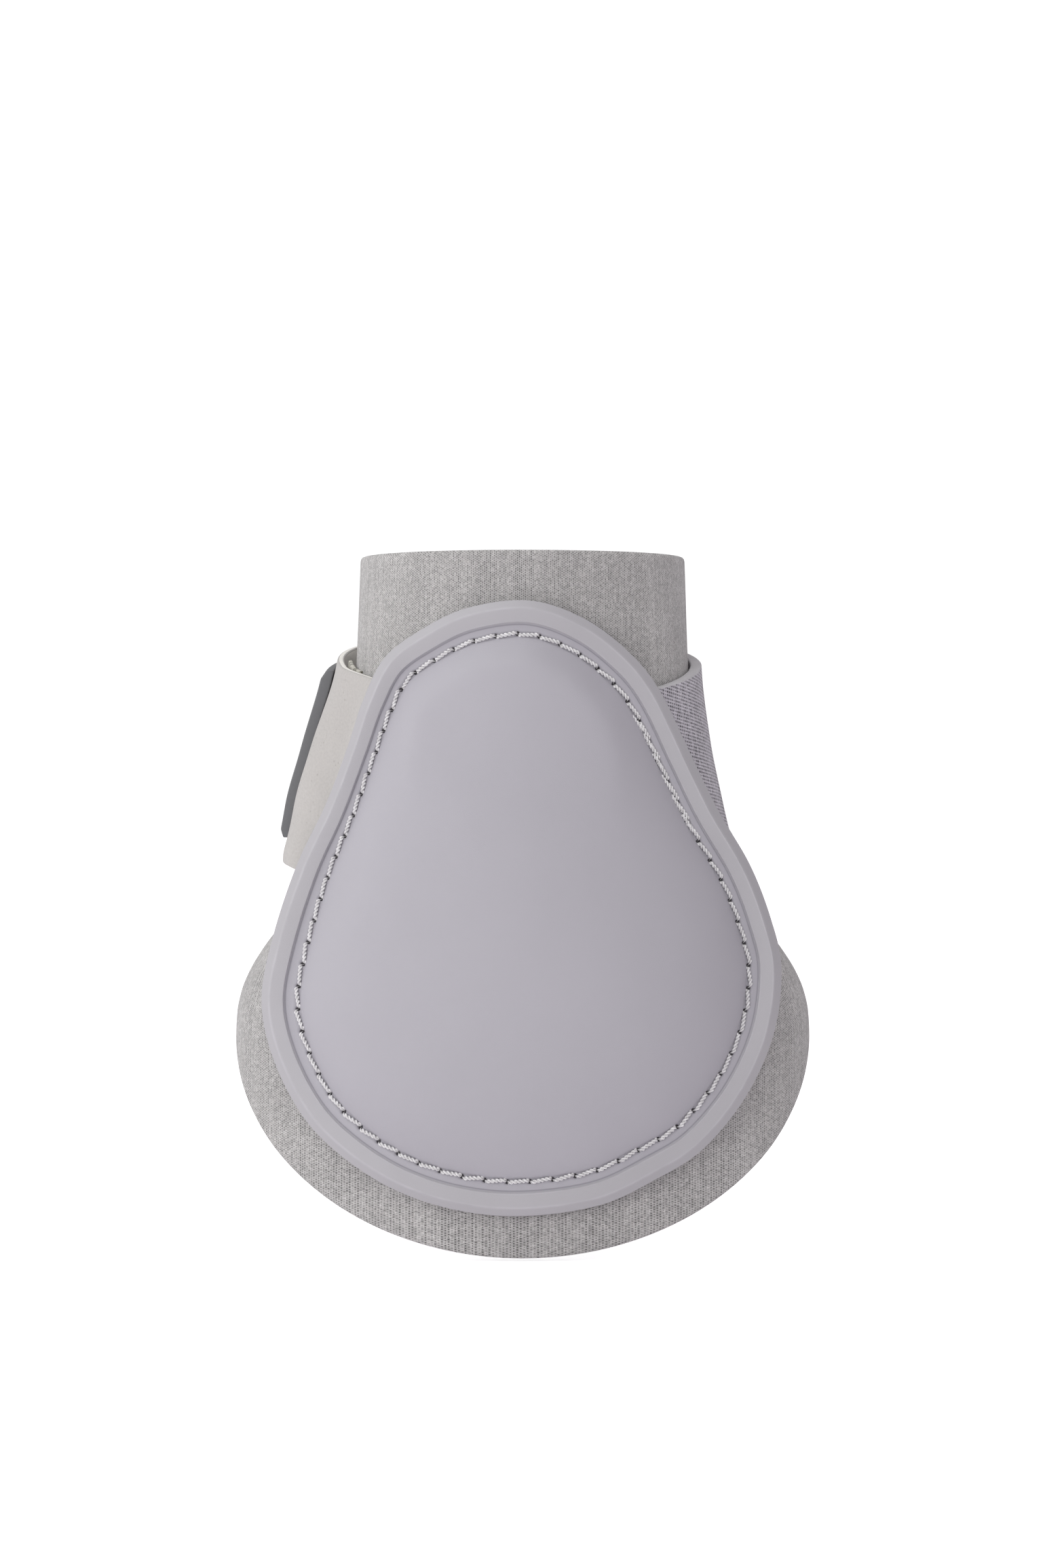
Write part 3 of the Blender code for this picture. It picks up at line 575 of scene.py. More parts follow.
@dataclass(frozen=True)
class ShellProfile:
    """Section of the shell across its rim, channel and domed panel, from the edge inwards."""

    floor: float = GAP + 0.0037
    wall: float = 0.0018
    rim_height: float = 0.0010
    rim_lean: float = 0.0002
    rim_facing: Pair = (0.45, 0.92)
    channel_facing: float = 0.45
    bevel: float = 0.0017
    bevel_height: float = 0.0015
    rim_width: float = 0.0048
    step: float = 0.0004
    channel_lean: float = 0.00005
    groove_depth: float = 0.00022
    groove_reach: float = 0.00045
    foot_inset: float = 0.0006
    foot_rise: float = 0.00045
    foot_reach: float = 0.0006
    shoulder: float = 0.0185
    crisp_shoulder: float = 0.0085
    crisp_span: Pair = (0.108, 0.122)
    shoulder_height: float = 0.0043
    crown: float = 0.0034
    softening_share: float = 0.07
    soft_power: float = 2.2
    firm_shares: Profile = Profile((
        (0.0, 0.0), (0.15, 0.15), (0.55, 0.72), (0.75, 0.93), (1.0, 1.0)))
    hollow_steps: int = 10
    cavity_inset: float = 0.0037
    hole_depth: float = 0.0006
    hole_half_length: float = 0.00052
    hole_half_width: float = 0.00040
    channel_start: float = 1.6
    channel_steps: int = 12
    dome_steps: int = 30
    dome_pace: float = 2.2
    bevel_shares: tuple[Pair, ...] = (
        (0.0, -1.50), (0.0, -1.06), (0.02, -1.0), (0.07, -0.96), (0.40, -0.69),
        (0.93, -0.06), (1.0, -0.01), (1.10, 0.0),
    )
    lip_shares: tuple[Pair, ...] = (
        (-1.5, 0.0), (-0.55, -0.01), (-0.22, -0.05), (-0.04, -0.16), (0.10, -0.40),
        (0.55, -0.82), (0.95, -0.95), (1.30, -1.0),
    )

    def rows(self, seam: float) -> list[Pair]:
        """Insets and heights of the outer face, up to the panel's foot."""
        top = self.floor + self.rim_height
        border, low = top - self.rim_lean, self.floor + self.channel_lean
        slope = self.rim_lean / (self.rim_width - self.bevel)
        rows = [(x * self.bevel, top + z * self.bevel_height) for x, z in self.bevel_shares]
        rows.append((mix(self.bevel, self.rim_width, 0.5), mix(top, border, 0.5)))
        rows += [(self.rim_width + x * self.step,
                  mix(border, low, -z) - min(x, 0.0) * self.step * slope)
                 for x, z in self.lip_shares]
        start, end = self.rim_width + self.step * self.channel_start, self.foot(seam)
        for k in range(self.channel_steps + 1):
            inset = mix(start, end, k / self.channel_steps)
            lean = self.channel_lean * max(0.0, (seam - inset) / (seam - start))
            groove = self.groove_depth * math.exp(-((inset - seam) / self.groove_reach) ** 2)
            rows.append((inset, self.floor + lean - groove))
        return rows

    def facing(self, inset: float, seam: float, side: Array) -> Array:
        """Extra height that turns the rim to the front, for each unit of the arc's lean.

        side goes from 0 at -X to 1 at +X. There is none inside the seam.
        """
        channel = self.channel_facing * (seam - np.clip(inset, self.rim_width, seam))
        rim = self.rim_width - np.clip(inset, self.bevel, self.rim_width)
        return channel + mix(*self.rim_facing, side) * rim

    def foot(self, seam: float) -> float:
        """Inset at which the channel ends and the panel starts."""
        return seam + self.foot_inset

    def crispness(self, height: Array) -> Array:
        """How crisp the shoulder is by the height of its foot: only at the top of the panel."""
        low, high = self.crisp_span
        return softened(ease((height - low) / (high - low)), self.softening_share)

    def rise(self, away: Array, crisp: Array) -> Array:
        """Height of the panel's shoulder over the channel, by the distance from its foot."""
        place = np.clip(away / mix(self.shoulder, self.crisp_shoulder, crisp), 0.0, 1.0)
        soft = 1.0 - (1.0 - place) ** self.soft_power
        foot = self.foot_rise * (1.0 - np.exp(-away / self.foot_reach))
        full = mix(soft, self.firm_shares.at(place), crisp)
        return foot + full * (self.shoulder_height - self.foot_rise)


def rgba(colour: Colour) -> tuple[float, float, float, float]:
    """Colour with full alpha."""
    return (*colour, 1.0)


class Nodes:
    """Short calls that add and link the nodes of one tree, of shaders or of geometry."""

    def __init__(self, tree: Tree) -> None:
        """Work in one tree."""
        self.tree = tree

    def add(self, kind: str, inputs: dict | None = None, **settings: object) -> bpy.types.Node:
        """Add a node.

        Args:
            kind: The node's type.
            inputs: Values or sockets for its inputs, by name or index.
            settings: Its properties.

        Returns:
            The node.
        """
        node = self.tree.nodes.new(kind)
        for key, value in settings.items():
            setattr(node, key, value)
        for key, value in (inputs or {}).items():
            self.feed(node.inputs[key], value)
        return node

    def feed(self, socket: Socket, value: object) -> None:
        """Link a socket to another, or set its value."""
        if isinstance(value, bpy.types.NodeSocket):
            self.tree.links.new(value, socket)
        else:
            socket.default_value = value

    def math(self, operation: str, *values: object) -> Socket:
        """Result of a Math node."""
        return self.add("ShaderNodeMath", dict(enumerate(values)), operation=operation).outputs[0]

    def ramp(self, value: Socket, low: object, high: object, to_low: float = 0.0,
             to_high: float = 1.0) -> Socket:
        """Smooth step of a value between low and high."""
        node = self.add("ShaderNodeMapRange", {
            "Value": value, "From Min": low, "From Max": high, "To Min": to_low,
            "To Max": to_high}, interpolation_type="SMOOTHSTEP")
        return node.outputs["Result"]

    def blend(self, share: object, first: object, second: object, how: str = "MIX") -> Socket:
        """Mix of two colours."""
        return self.add("ShaderNodeMix", {0: share, 6: first, 7: second}, data_type="RGBA",
                        blend_type=how).outputs[2]

    def noise(self, place: Socket, scale: object, detail: float = 2.0) -> Socket:
        """Soft noise around a half."""
        node = self.add("ShaderNodeTexNoise", {"Vector": place, "Scale": scale, "Detail": detail})
        return node.outputs["Fac"]

    def place(self, space: str) -> Socket:
        """Texture coordinates of a space."""
        return self.add("ShaderNodeTexCoord").outputs[space]

    def axis(self, place: Socket, index: int) -> Socket:
        """One component of a vector."""
        return self.add("ShaderNodeSeparateXYZ", {0: place}).outputs[index]

    def grey(self, tone: Socket) -> Socket:
        """Colour with the same tone in each channel."""
        return self.add("ShaderNodeCombineColor", dict.fromkeys(range(3), tone)).outputs[0]

    def toned(self, colour: Colour, tone: Socket) -> Socket:
        """Colour multiplied by a tone."""
        return self.blend(1.0, rgba(colour), self.grey(tone), "MULTIPLY")

    def use(self, group: Tree, **inputs: object) -> bpy.types.NodeOutputs:
        """Outputs of a shared group, with underscores in its input names read as spaces."""
        named = {key.replace("_", " "): value for key, value in inputs.items()}
        return self.add("ShaderNodeGroup", named, node_tree=group).outputs


class Group(Nodes):
    """A node group, with its input sockets by name in given."""

    def __init__(self, name: str, inputs: dict[str, object], outputs: tuple[str, ...],
                 kind: str = "Shader", output: str = "Float") -> None:
        """Start the group.

        Args:
            name: Its name.
            inputs: Default of each input, or its socket type where it has none.
            outputs: Names of its outputs.
            kind: Shader or Geometry.
            output: Socket type of the outputs.
        """
        super().__init__(bpy.data.node_groups.new(name, f"{kind}NodeTree"))
        sockets = self.tree.interface
        for label, default in inputs.items():
            bare = isinstance(default, str)
            socket = default if bare else type(default).__name__.capitalize()
            made = sockets.new_socket(label, in_out="INPUT", socket_type=f"NodeSocket{socket}")
            if not bare:
                made.default_value = default
        for label in outputs:
            sockets.new_socket(label, in_out="OUTPUT", socket_type=f"NodeSocket{output}")
        self.given = {s.name: s for s in self.add("NodeGroupInput").outputs if s.name}
        self.results = self.add("NodeGroupOutput").inputs


@dataclass
class Effects:
    """Shader groups that more than one material uses, each built once."""

    dot_edge: Pair = (1.4, 0.3)
    wale_share: float = 0.7
    ridge_share: float = 0.35
    mottle_detail: float = 3.0
    mottle_span: Pair = (0.3, 0.7)
    speck_edge: Pair = (0.35, 0.1)

    def __post_init__(self) -> None:
        """Build every group."""
        self.cells = self._cells()
        self.mottle = self._mottle()
        self.grain = self._grain()

    def _cells(self) -> Tree:
        """Knit or weave: rows of small dark openings between raised strands."""
        n = Group("cells", {
            "Vector": "Vector", "Cell Width": 0.001, "Cell Height": 0.001, "Shift": 0.5,
            "Dot Width": 0.3, "Dot Height": 0.3, "Tilt": 0.0, "Unevenness": 0.5,
        }, ("Dots", "Height", "Strand", "Wale"))
        given = n.given

        def squared(place: Socket, reach: str) -> Socket:
            """Square of a distance in units of an input."""
            return n.math("POWER", n.math("DIVIDE", n.math("ABSOLUTE", place), given[reach]), 2.0)

        place = n.add("ShaderNodeSeparateXYZ", {0: given["Vector"]})
        u = n.math("DIVIDE", place.outputs[0], given["Cell Width"])
        column = n.math("FLOOR", u)
        across = n.math("SUBTRACT", n.math("FRACT", u), 0.5)
        v = n.math("MULTIPLY_ADD", column, given["Shift"],
                   n.math("DIVIDE", place.outputs[1], given["Cell Height"]))
        along = n.math("MULTIPLY_ADD", across, given["Tilt"],
                       n.math("SUBTRACT", n.math("FRACT", v), 0.5))
        away = n.math("ADD", squared(across, "Dot Width"), squared(along, "Dot Height"))
        wale = n.add("ShaderNodeTexWhiteNoise", {"W": column}, noise_dimensions="1D").outputs[0]
        spot = n.add("ShaderNodeCombineXYZ", {0: column, 1: n.math("FLOOR", v)}).outputs[0]
        cell = n.add("ShaderNodeTexWhiteNoise", {"Vector": spot}, noise_dimensions="2D").outputs[0]
        rest = n.math("MULTIPLY", cell, 1.0 - self.wale_share)
        weak = n.math("MULTIPLY", given["Unevenness"],
                      n.math("MULTIPLY_ADD", wale, self.wale_share, rest))
        dots = n.math("MULTIPLY", n.ramp(away, *self.dot_edge), n.math("SUBTRACT", 1.0, weak))
        ridge = n.math("SUBTRACT", 1.0, n.math("POWER", n.math("ABSOLUTE", n.math(
            "MULTIPLY", across, 2.0)), 2.0))
        flat = 1.0 - self.ridge_share
        height = n.math("MULTIPLY_ADD", ridge, self.ridge_share, n.math(
            "SUBTRACT", flat, n.math("MULTIPLY", dots, flat)))
        for label, value in (("Dots", dots), ("Height", height), ("Strand", cell), ("Wale", wale)):
            n.feed(n.results[label], value)
        return n.tree

    def _mottle(self) -> Tree:
        """Slow variation of tone over a surface."""
        n = Group("mottle", {"Vector": "Vector", "Scale": 40.0, "Low": 0.95, "High": 1.05},
                  ("Tone",))
        low, high = self.mottle_span
        value = n.noise(n.given["Vector"], n.given["Scale"], self.mottle_detail)
        node = n.add("ShaderNodeMapRange", {
            "Value": value, "From Min": low, "From Max": high, "To Min": n.given["Low"],
            "To Max": n.given["High"]})
        n.feed(n.results["Tone"], node.outputs["Result"])
        return n.tree

    def _grain(self) -> Tree:
        """Fine surface grain, and sparse specks."""
        n = Group("grain", {"Vector": "Vector", "Scale": 3000.0, "Speck Scale": 900.0,
                            "Speck Share": 0.2}, ("Height", "Specks"))
        place = n.given["Vector"]
        n.feed(n.results["Height"], n.noise(place, n.given["Scale"]))
        cell = n.add("ShaderNodeTexVoronoi", {"Vector": place, "Scale": n.given["Speck Scale"]})
        chosen = n.add("ShaderNodeSeparateColor", {0: cell.outputs["Color"]}).outputs[0]
        near = n.ramp(cell.outputs["Distance"], *self.speck_edge)
        n.feed(n.results["Specks"], n.math("MULTIPLY", near, n.math(
            "LESS_THAN", chosen, n.given["Speck Share"])))
        return n.tree


class Surface(Nodes):
    """Nodes of one material: its Principled shader, the shared effects and their places."""

    def __init__(self, name: str, effects: Effects | None, roughness: float, sheen: float = 0.0,
                 sheen_roughness: float = 0.5, space: str = "UV") -> None:
        """Start a material; its effects follow the texture coordinates of a space."""
        self.material = bpy.data.materials.new(name)
        self.material.use_nodes = True
        super().__init__(self.material.node_tree)
        self.effects = effects
        self.inputs = self.tree.nodes["Principled BSDF"].inputs
        for label, value in (("Roughness", roughness), ("Sheen Weight", sheen),
                             ("Sheen Roughness", sheen_roughness)):
            self.inputs[label].default_value = value
        self.spot = self.place(space)


@dataclass(frozen=True)
class Mottle:
    """Slow variation of tone: its scale and its darkest and lightest tones."""

    scale: float
    low: float
    high: float

    def tone(self, n: Surface) -> Socket:
        """Tone over a surface."""
        return n.use(n.effects.mottle, Vector=n.spot, Scale=self.scale, Low=self.low,
                     High=self.high)[0]


@dataclass(frozen=True)
class Patches:
    """Soft patches of noise: scale, detail, the span that counts and what its ends give."""

    scale: float
    detail: float
    low: float
    high: float
    to_low: float = 0.0
    to_high: float = 1.0

    def mask(self, n: Surface) -> Socket:
        """Value over a surface."""
        return n.ramp(n.noise(n.spot, self.scale, self.detail), self.low, self.high,
                      self.to_low, self.to_high)


@dataclass(frozen=True)
class Grain:
    """Fine grain and sparse specks: their scales, the specks' share and how far they rise."""

    scale: float
    speck_scale: float
    speck_share: float
    speck_rise: float = 0.0

    def lay(self, n: Surface) -> tuple[Socket, Socket]:
        """Height of a surface with this grain, and the mask of its specks."""
        made = n.use(n.effects.grain, Vector=n.spot, Scale=self.scale,
                     Speck_Scale=self.speck_scale, Speck_Share=self.speck_share)
        height, specks = made["Height"], made["Specks"]
        if self.speck_rise:
            height = n.math("MULTIPLY_ADD", specks, self.speck_rise, height)
        return height, specks


@dataclass(frozen=True)
class Finish:
    """What every finish has; paint says its colour and its height."""

    name: str
    roughness: float
    sheen: float = 0.0
    sheen_roughness: float = 0.5
    space: str = "UV"
    grain: Grain = Grain(4200.0, 700.0, 0.12)
    relief: float = 0.00012
    strength: float = 1.0

    def build(self, effects: Effects) -> Material:
        """Make the material."""
        n = Surface(self.name, effects, self.roughness, self.sheen, self.sheen_roughness,
                    self.space)
        colour, height = self.paint(n)
        n.feed(n.inputs["Base Color"], colour)
        bump = n.add("ShaderNodeBump", {"Height": height, "Distance": self.relief,
                                        "Strength": self.strength})
        n.feed(n.inputs["Normal"], bump.outputs[0])
        return n.material

    def paint(self, n: Surface) -> tuple[Socket, Socket]:
        """Colour over the surface, and its height in units of the relief."""
        raise NotImplementedError


@dataclass(frozen=True)
class ShellFinish(Finish):
    """Satin moulded polyurethane, with needle holes along the seam; painted shade darkens the
    holes and the foot of the step inside the rim, and the rim's edges are lighter with wear and a
    painted highlight.
    """

    name: str = "moulded_polyurethane"
    roughness: float = 0.50
    rough_patches: Patches = Patches(90.0, 4.0, 0.3, 0.7, 0.50, 0.60)
    space: str = "Object"
    grain: Grain = Grain(5200.0, 1500.0, 0.06, -0.4)
    relief: float = 0.00004
    strength: float = 0.55
    form: ShellForm = ShellForm(LegForm())
    profile: ShellProfile = ShellProfile()
    colour: Colour = (0.460, 0.447, 0.487)
    mottle: Mottle = Mottle(28.0, 0.975, 1.02)
    rim: Colour = (1.02, 1.025, 0.99)
    # Lighter bands at the bevel's crest and the rim's inner edge, in patches: partly edge wear,
    # partly a painted highlight.
    worn: Colour = (0.60, 0.585, 0.62)
    worn_patches: Patches = Patches(160.0, 3.0, 0.35, 0.65, 0.10, 0.42)
    worn_shifts: Pair = (0.0, -0.0001)
    worn_reaches: Pair = (0.00045, 0.0003)
    # Painted shade at the foot of the step inside the rim: its colour, its shift from the step,
    # its reach and its share.
    dust: Colour = (0.20, 0.19, 0.22)
    dust_shift: float = 0.00005
    dust_reach: float = 0.00026
    dust_share: float = 0.6
    # Near-black needle holes: painted shade inside the holes.
    hole: Colour = (0.045, 0.04, 0.045)
    hole_half_length: float = 0.00056
    hole_half_width: float = 0.00046
    hole_edge: Pair = (1.25, 0.55)
    hole_share: float = 0.92

    def paint(self, n: Surface) -> tuple[Socket, Socket]:
        """Colour and height; the UV map holds the stitch count and the inset from the edge."""
        form, profile = self.form, self.profile
        stitch, inset = n.add("ShaderNodeSeparateXYZ", {0: n.place("UV")}).outputs[:2]
        step = profile.rim_width + profile.step

        def band(centre: float, reach: float) -> Socket:
            """Mask of a soft band at an inset from the outline."""
            return n.ramp(n.math("ABSOLUTE", n.math("SUBTRACT", inset, centre)), reach, 0.0)

        colour = n.toned(self.colour, self.mottle.tone(n))
        colour = n.blend(n.ramp(inset, step, profile.rim_width), colour, rgba(self.rim),
                         "MULTIPLY")
        # Lighten the bevel's crest and the rim's inner edge in patches: partly edge wear, partly a
        # painted highlight.
        worn = n.math("ADD", *(band(edge + shift, reach) for edge, shift, reach in zip(
            (profile.bevel, profile.rim_width), self.worn_shifts, self.worn_reaches)))
        worn = n.math("MULTIPLY", worn, self.worn_patches.mask(n))
        colour = n.blend(worn, colour, rgba(self.worn))
        # Painted shade: darken a band at the foot of the step inside the rim.
        dust = n.math("MULTIPLY", band(step + self.dust_shift, self.dust_reach), self.dust_share)
        colour = n.blend(dust, colour, rgba(self.dust))
        # Painted shade: a dark spot at each needle hole along the seam.
        u = n.math("DIVIDE", n.math("MULTIPLY", n.math("SUBTRACT", n.math(
            "FRACT", n.math("ADD", stitch, 0.5)), 0.5), form.pitch), self.hole_half_width)
        v = n.math("DIVIDE", n.math("SUBTRACT", inset, form.seam_inset), self.hole_half_length)
        away = n.math("ADD", n.math("MULTIPLY", u, u), n.math("MULTIPLY", v, v))
        colour = n.blend(n.ramp(away, *self.hole_edge, 0.0, self.hole_share), colour,
                         rgba(self.hole))
        n.feed(n.inputs["Roughness"], self.rough_patches.mask(n))
        return colour, self.grain.lay(n)[0]


@dataclass(frozen=True)
class ClothFinish(Finish):
    """Knitted or woven cloth, its pattern on the UV map in metres."""

    roughness: float = 0.9
    sheen: float = 0.25
    light: Colour = (0.5, 0.5, 0.5)
    dark: Colour = (0.1, 0.1, 0.1)
    cell: Pair = (0.0005, 0.0005)
    shift: float = 0.5
    dot: Pair = (0.30, 0.30)
    tilt: float = 0.0
    unevenness: float = 0.6
    dots_weight: float = 0.8
    specks_weight: float = 0.10
    fuzz: float = 0.35
    mottle: Mottle = Mottle(75.0, 0.93, 1.06)
    blotch: float = 0.22
    blotch_scale: float = 2800.0
    strand: float = 0.17
    wale: float = 0.02
    selvedge: Pair | None = None
    selvedge_edge: Pair = (1.15, 0.85)
    selvedge_colour: Colour = (0.5, 0.49, 0.5)

    def paint(self, n: Surface) -> tuple[Socket, Socket]:
        """Colour and height of the strands, their openings and the selvedges."""
        cells = n.use(n.effects.cells, Vector=n.spot, Cell_Width=self.cell[0],
                      Cell_Height=self.cell[1], Shift=self.shift, Dot_Width=self.dot[0],
                      Dot_Height=self.dot[1], Tilt=self.tilt, Unevenness=self.unevenness)
        grain, specks = self.grain.lay(n)
        blotches = Mottle(self.blotch_scale, 1.0 - self.blotch, 1.0 + self.blotch)
        shade = n.math("MULTIPLY", self.mottle.tone(n), blotches.tone(n))
        for output, spread in (("Strand", self.strand), ("Wale", self.wale)):
            shade = n.math("MULTIPLY", shade, n.math(
                "MULTIPLY_ADD", cells[output], 2.0 * spread, 1.0 - spread))
        light = n.toned(self.light, shade)
        dots = n.math("MULTIPLY", cells["Dots"], self.dots_weight)
        if self.selvedge:
            width, edge = self.selvedge
            # Build the studio and the boot.
            inner = n.math("SUBTRACT", width / 2.0, n.math("ABSOLUTE", n.math(
                "SUBTRACT", n.axis(n.spot, 1), width / 2.0)))
            bound = n.ramp(inner, *(edge * share for share in self.selvedge_edge))
            light = n.blend(bound, light, rgba(self.selvedge_colour))
            dots = n.math("MULTIPLY", dots, n.math("SUBTRACT", 1.0, bound))
        colour = n.blend(dots, light, rgba(self.dark))
        colour = n.blend(n.math("MULTIPLY", specks, self.specks_weight), colour, rgba(self.dark))
        return colour, n.math("MULTIPLY_ADD", grain, self.fuzz, cells["Height"])


@dataclass(frozen=True)
class FacedFabricFinish(Finish):
    """Smooth-faced fabric of the closure tab: pale, with faint pebbles and sparse specks."""

    name: str = "faced_fabric"
    roughness: float = 0.72
    sheen: float = 0.15
    grain: Grain = Grain(2600.0, 1300.0, 0.16)
    relief: float = 0.00006
    strength: float = 0.8
    colour: Colour = (0.512, 0.492, 0.474)
    speck: Colour = (0.32, 0.30, 0.28)
    mottles: tuple[Mottle, Mottle] = (Mottle(55.0, 0.955, 1.045), Mottle(1700.0, 0.95, 1.05))
    patches: Patches = Patches(260.0, 3.0, 0.45, 0.62)
    specks_weight: float = 0.55
    pebbles: Pair = (1500.0, 3.0)
    pebble_weight: float = 0.6

    def paint(self, n: Surface) -> tuple[Socket, Socket]:
        """Colour and height of the pebbled face with its specks."""
        grain, specks = self.grain.lay(n)
        tone = n.math("MULTIPLY", *(mottle.tone(n) for mottle in self.mottles))
        specks = n.math("MULTIPLY", specks, n.math("MULTIPLY", self.patches.mask(n),
                                                   self.specks_weight))
        colour = n.blend(specks, n.toned(self.colour, tone), rgba(self.speck))
        pebbled = n.math("MULTIPLY_ADD", n.noise(n.spot, *self.pebbles), self.pebble_weight, grain)
        return colour, n.math("SUBTRACT", pebbled, specks)


@dataclass(frozen=True)
class PileFinish(Finish):
    """Napped, foamed or ground surface, mottled between two colours at one scale."""

    roughness: float = 0.95
    first: Colour = (0.5, 0.5, 0.5)
    second: Colour = (0.1, 0.1, 0.1)
    scale: float = 1000.0
    detail: float = 4.0
    grain_scales: Pair = (4.0, 1.5)
    speck_share: float = 0.35
    speck_rise: float = -0.7
    specks_weight: float = 0.35
    contrast: Pair = (0.38, 0.62)

    def paint(self, n: Surface) -> tuple[Socket, Socket]:
        """Colour and height of the mottled pile."""
        fine, coarse = (self.scale * times for times in self.grain_scales)
        height, specks = Grain(fine, coarse, self.speck_share, self.speck_rise).lay(n)
        share = n.math("MULTIPLY_ADD", specks, self.specks_weight,
                       Patches(self.scale, self.detail, *self.contrast).mask(n))
        return n.blend(share, rgba(self.first), rgba(self.second)), height


@dataclass(frozen=True)
class ThreadFinish(Finish):
    """Bright twisted synthetic thread."""

    name: str = "twisted_thread"
    roughness: float = 0.34
    sheen: float = 0.35
    sheen_roughness: float = 0.35
    space: str = "Object"
    grain: Grain = Grain(6000.0, 2500.0, 0.3)
    relief: float = 0.00005
    colour: Colour = (0.98, 0.975, 0.98)
    shade: Colour = (0.22, 0.20, 0.20)
    mottle: Mottle = Mottle(1400.0, 0.0, 1.0)
    shade_share: float = 0.40

    def paint(self, n: Surface) -> tuple[Socket, Socket]:
        """Colour and height of the thread, shaded in patches."""
        share = n.math("MULTIPLY", self.mottle.tone(n), self.shade_share)
        return n.blend(share, rgba(self.colour), rgba(self.shade)), self.grain.lay(n)[0]


@dataclass(frozen=True)
class RubberFinish(Finish):
    """Matt dark rubber with a fine grain."""

    name: str = "matt_rubber"
    roughness: float = 0.55
    grain: Grain = Grain(3600.0, 1200.0, 0.25, 0.5)
    relief: float = 0.00005
    strength: float = 0.7
    colour: Colour = (0.156, 0.158, 0.166)

    def paint(self, n: Surface) -> tuple[Socket, Socket]:
        """Plain colour, and the height of the grain."""
        return rgba(self.colour), self.grain.lay(n)[0]


@dataclass(frozen=True)
class Thread:
    """Stitch of a seam: its plies' radius and twists, and how it rises and dips."""

    ply_radius: float
    twists: float
    rise: float
    dip: float
    share: float
    seed: int
    jitter: float = 1.0


@dataclass(frozen=True)
class Fibre:
    """Fibre of a pile: how many stand on a square metre, its bend, its stem and its thickness."""

    per_area: float
    bend_radius: float
    curl: float
    stem: float
    thickness: float
    seed: int
    jitter: float = 1.0


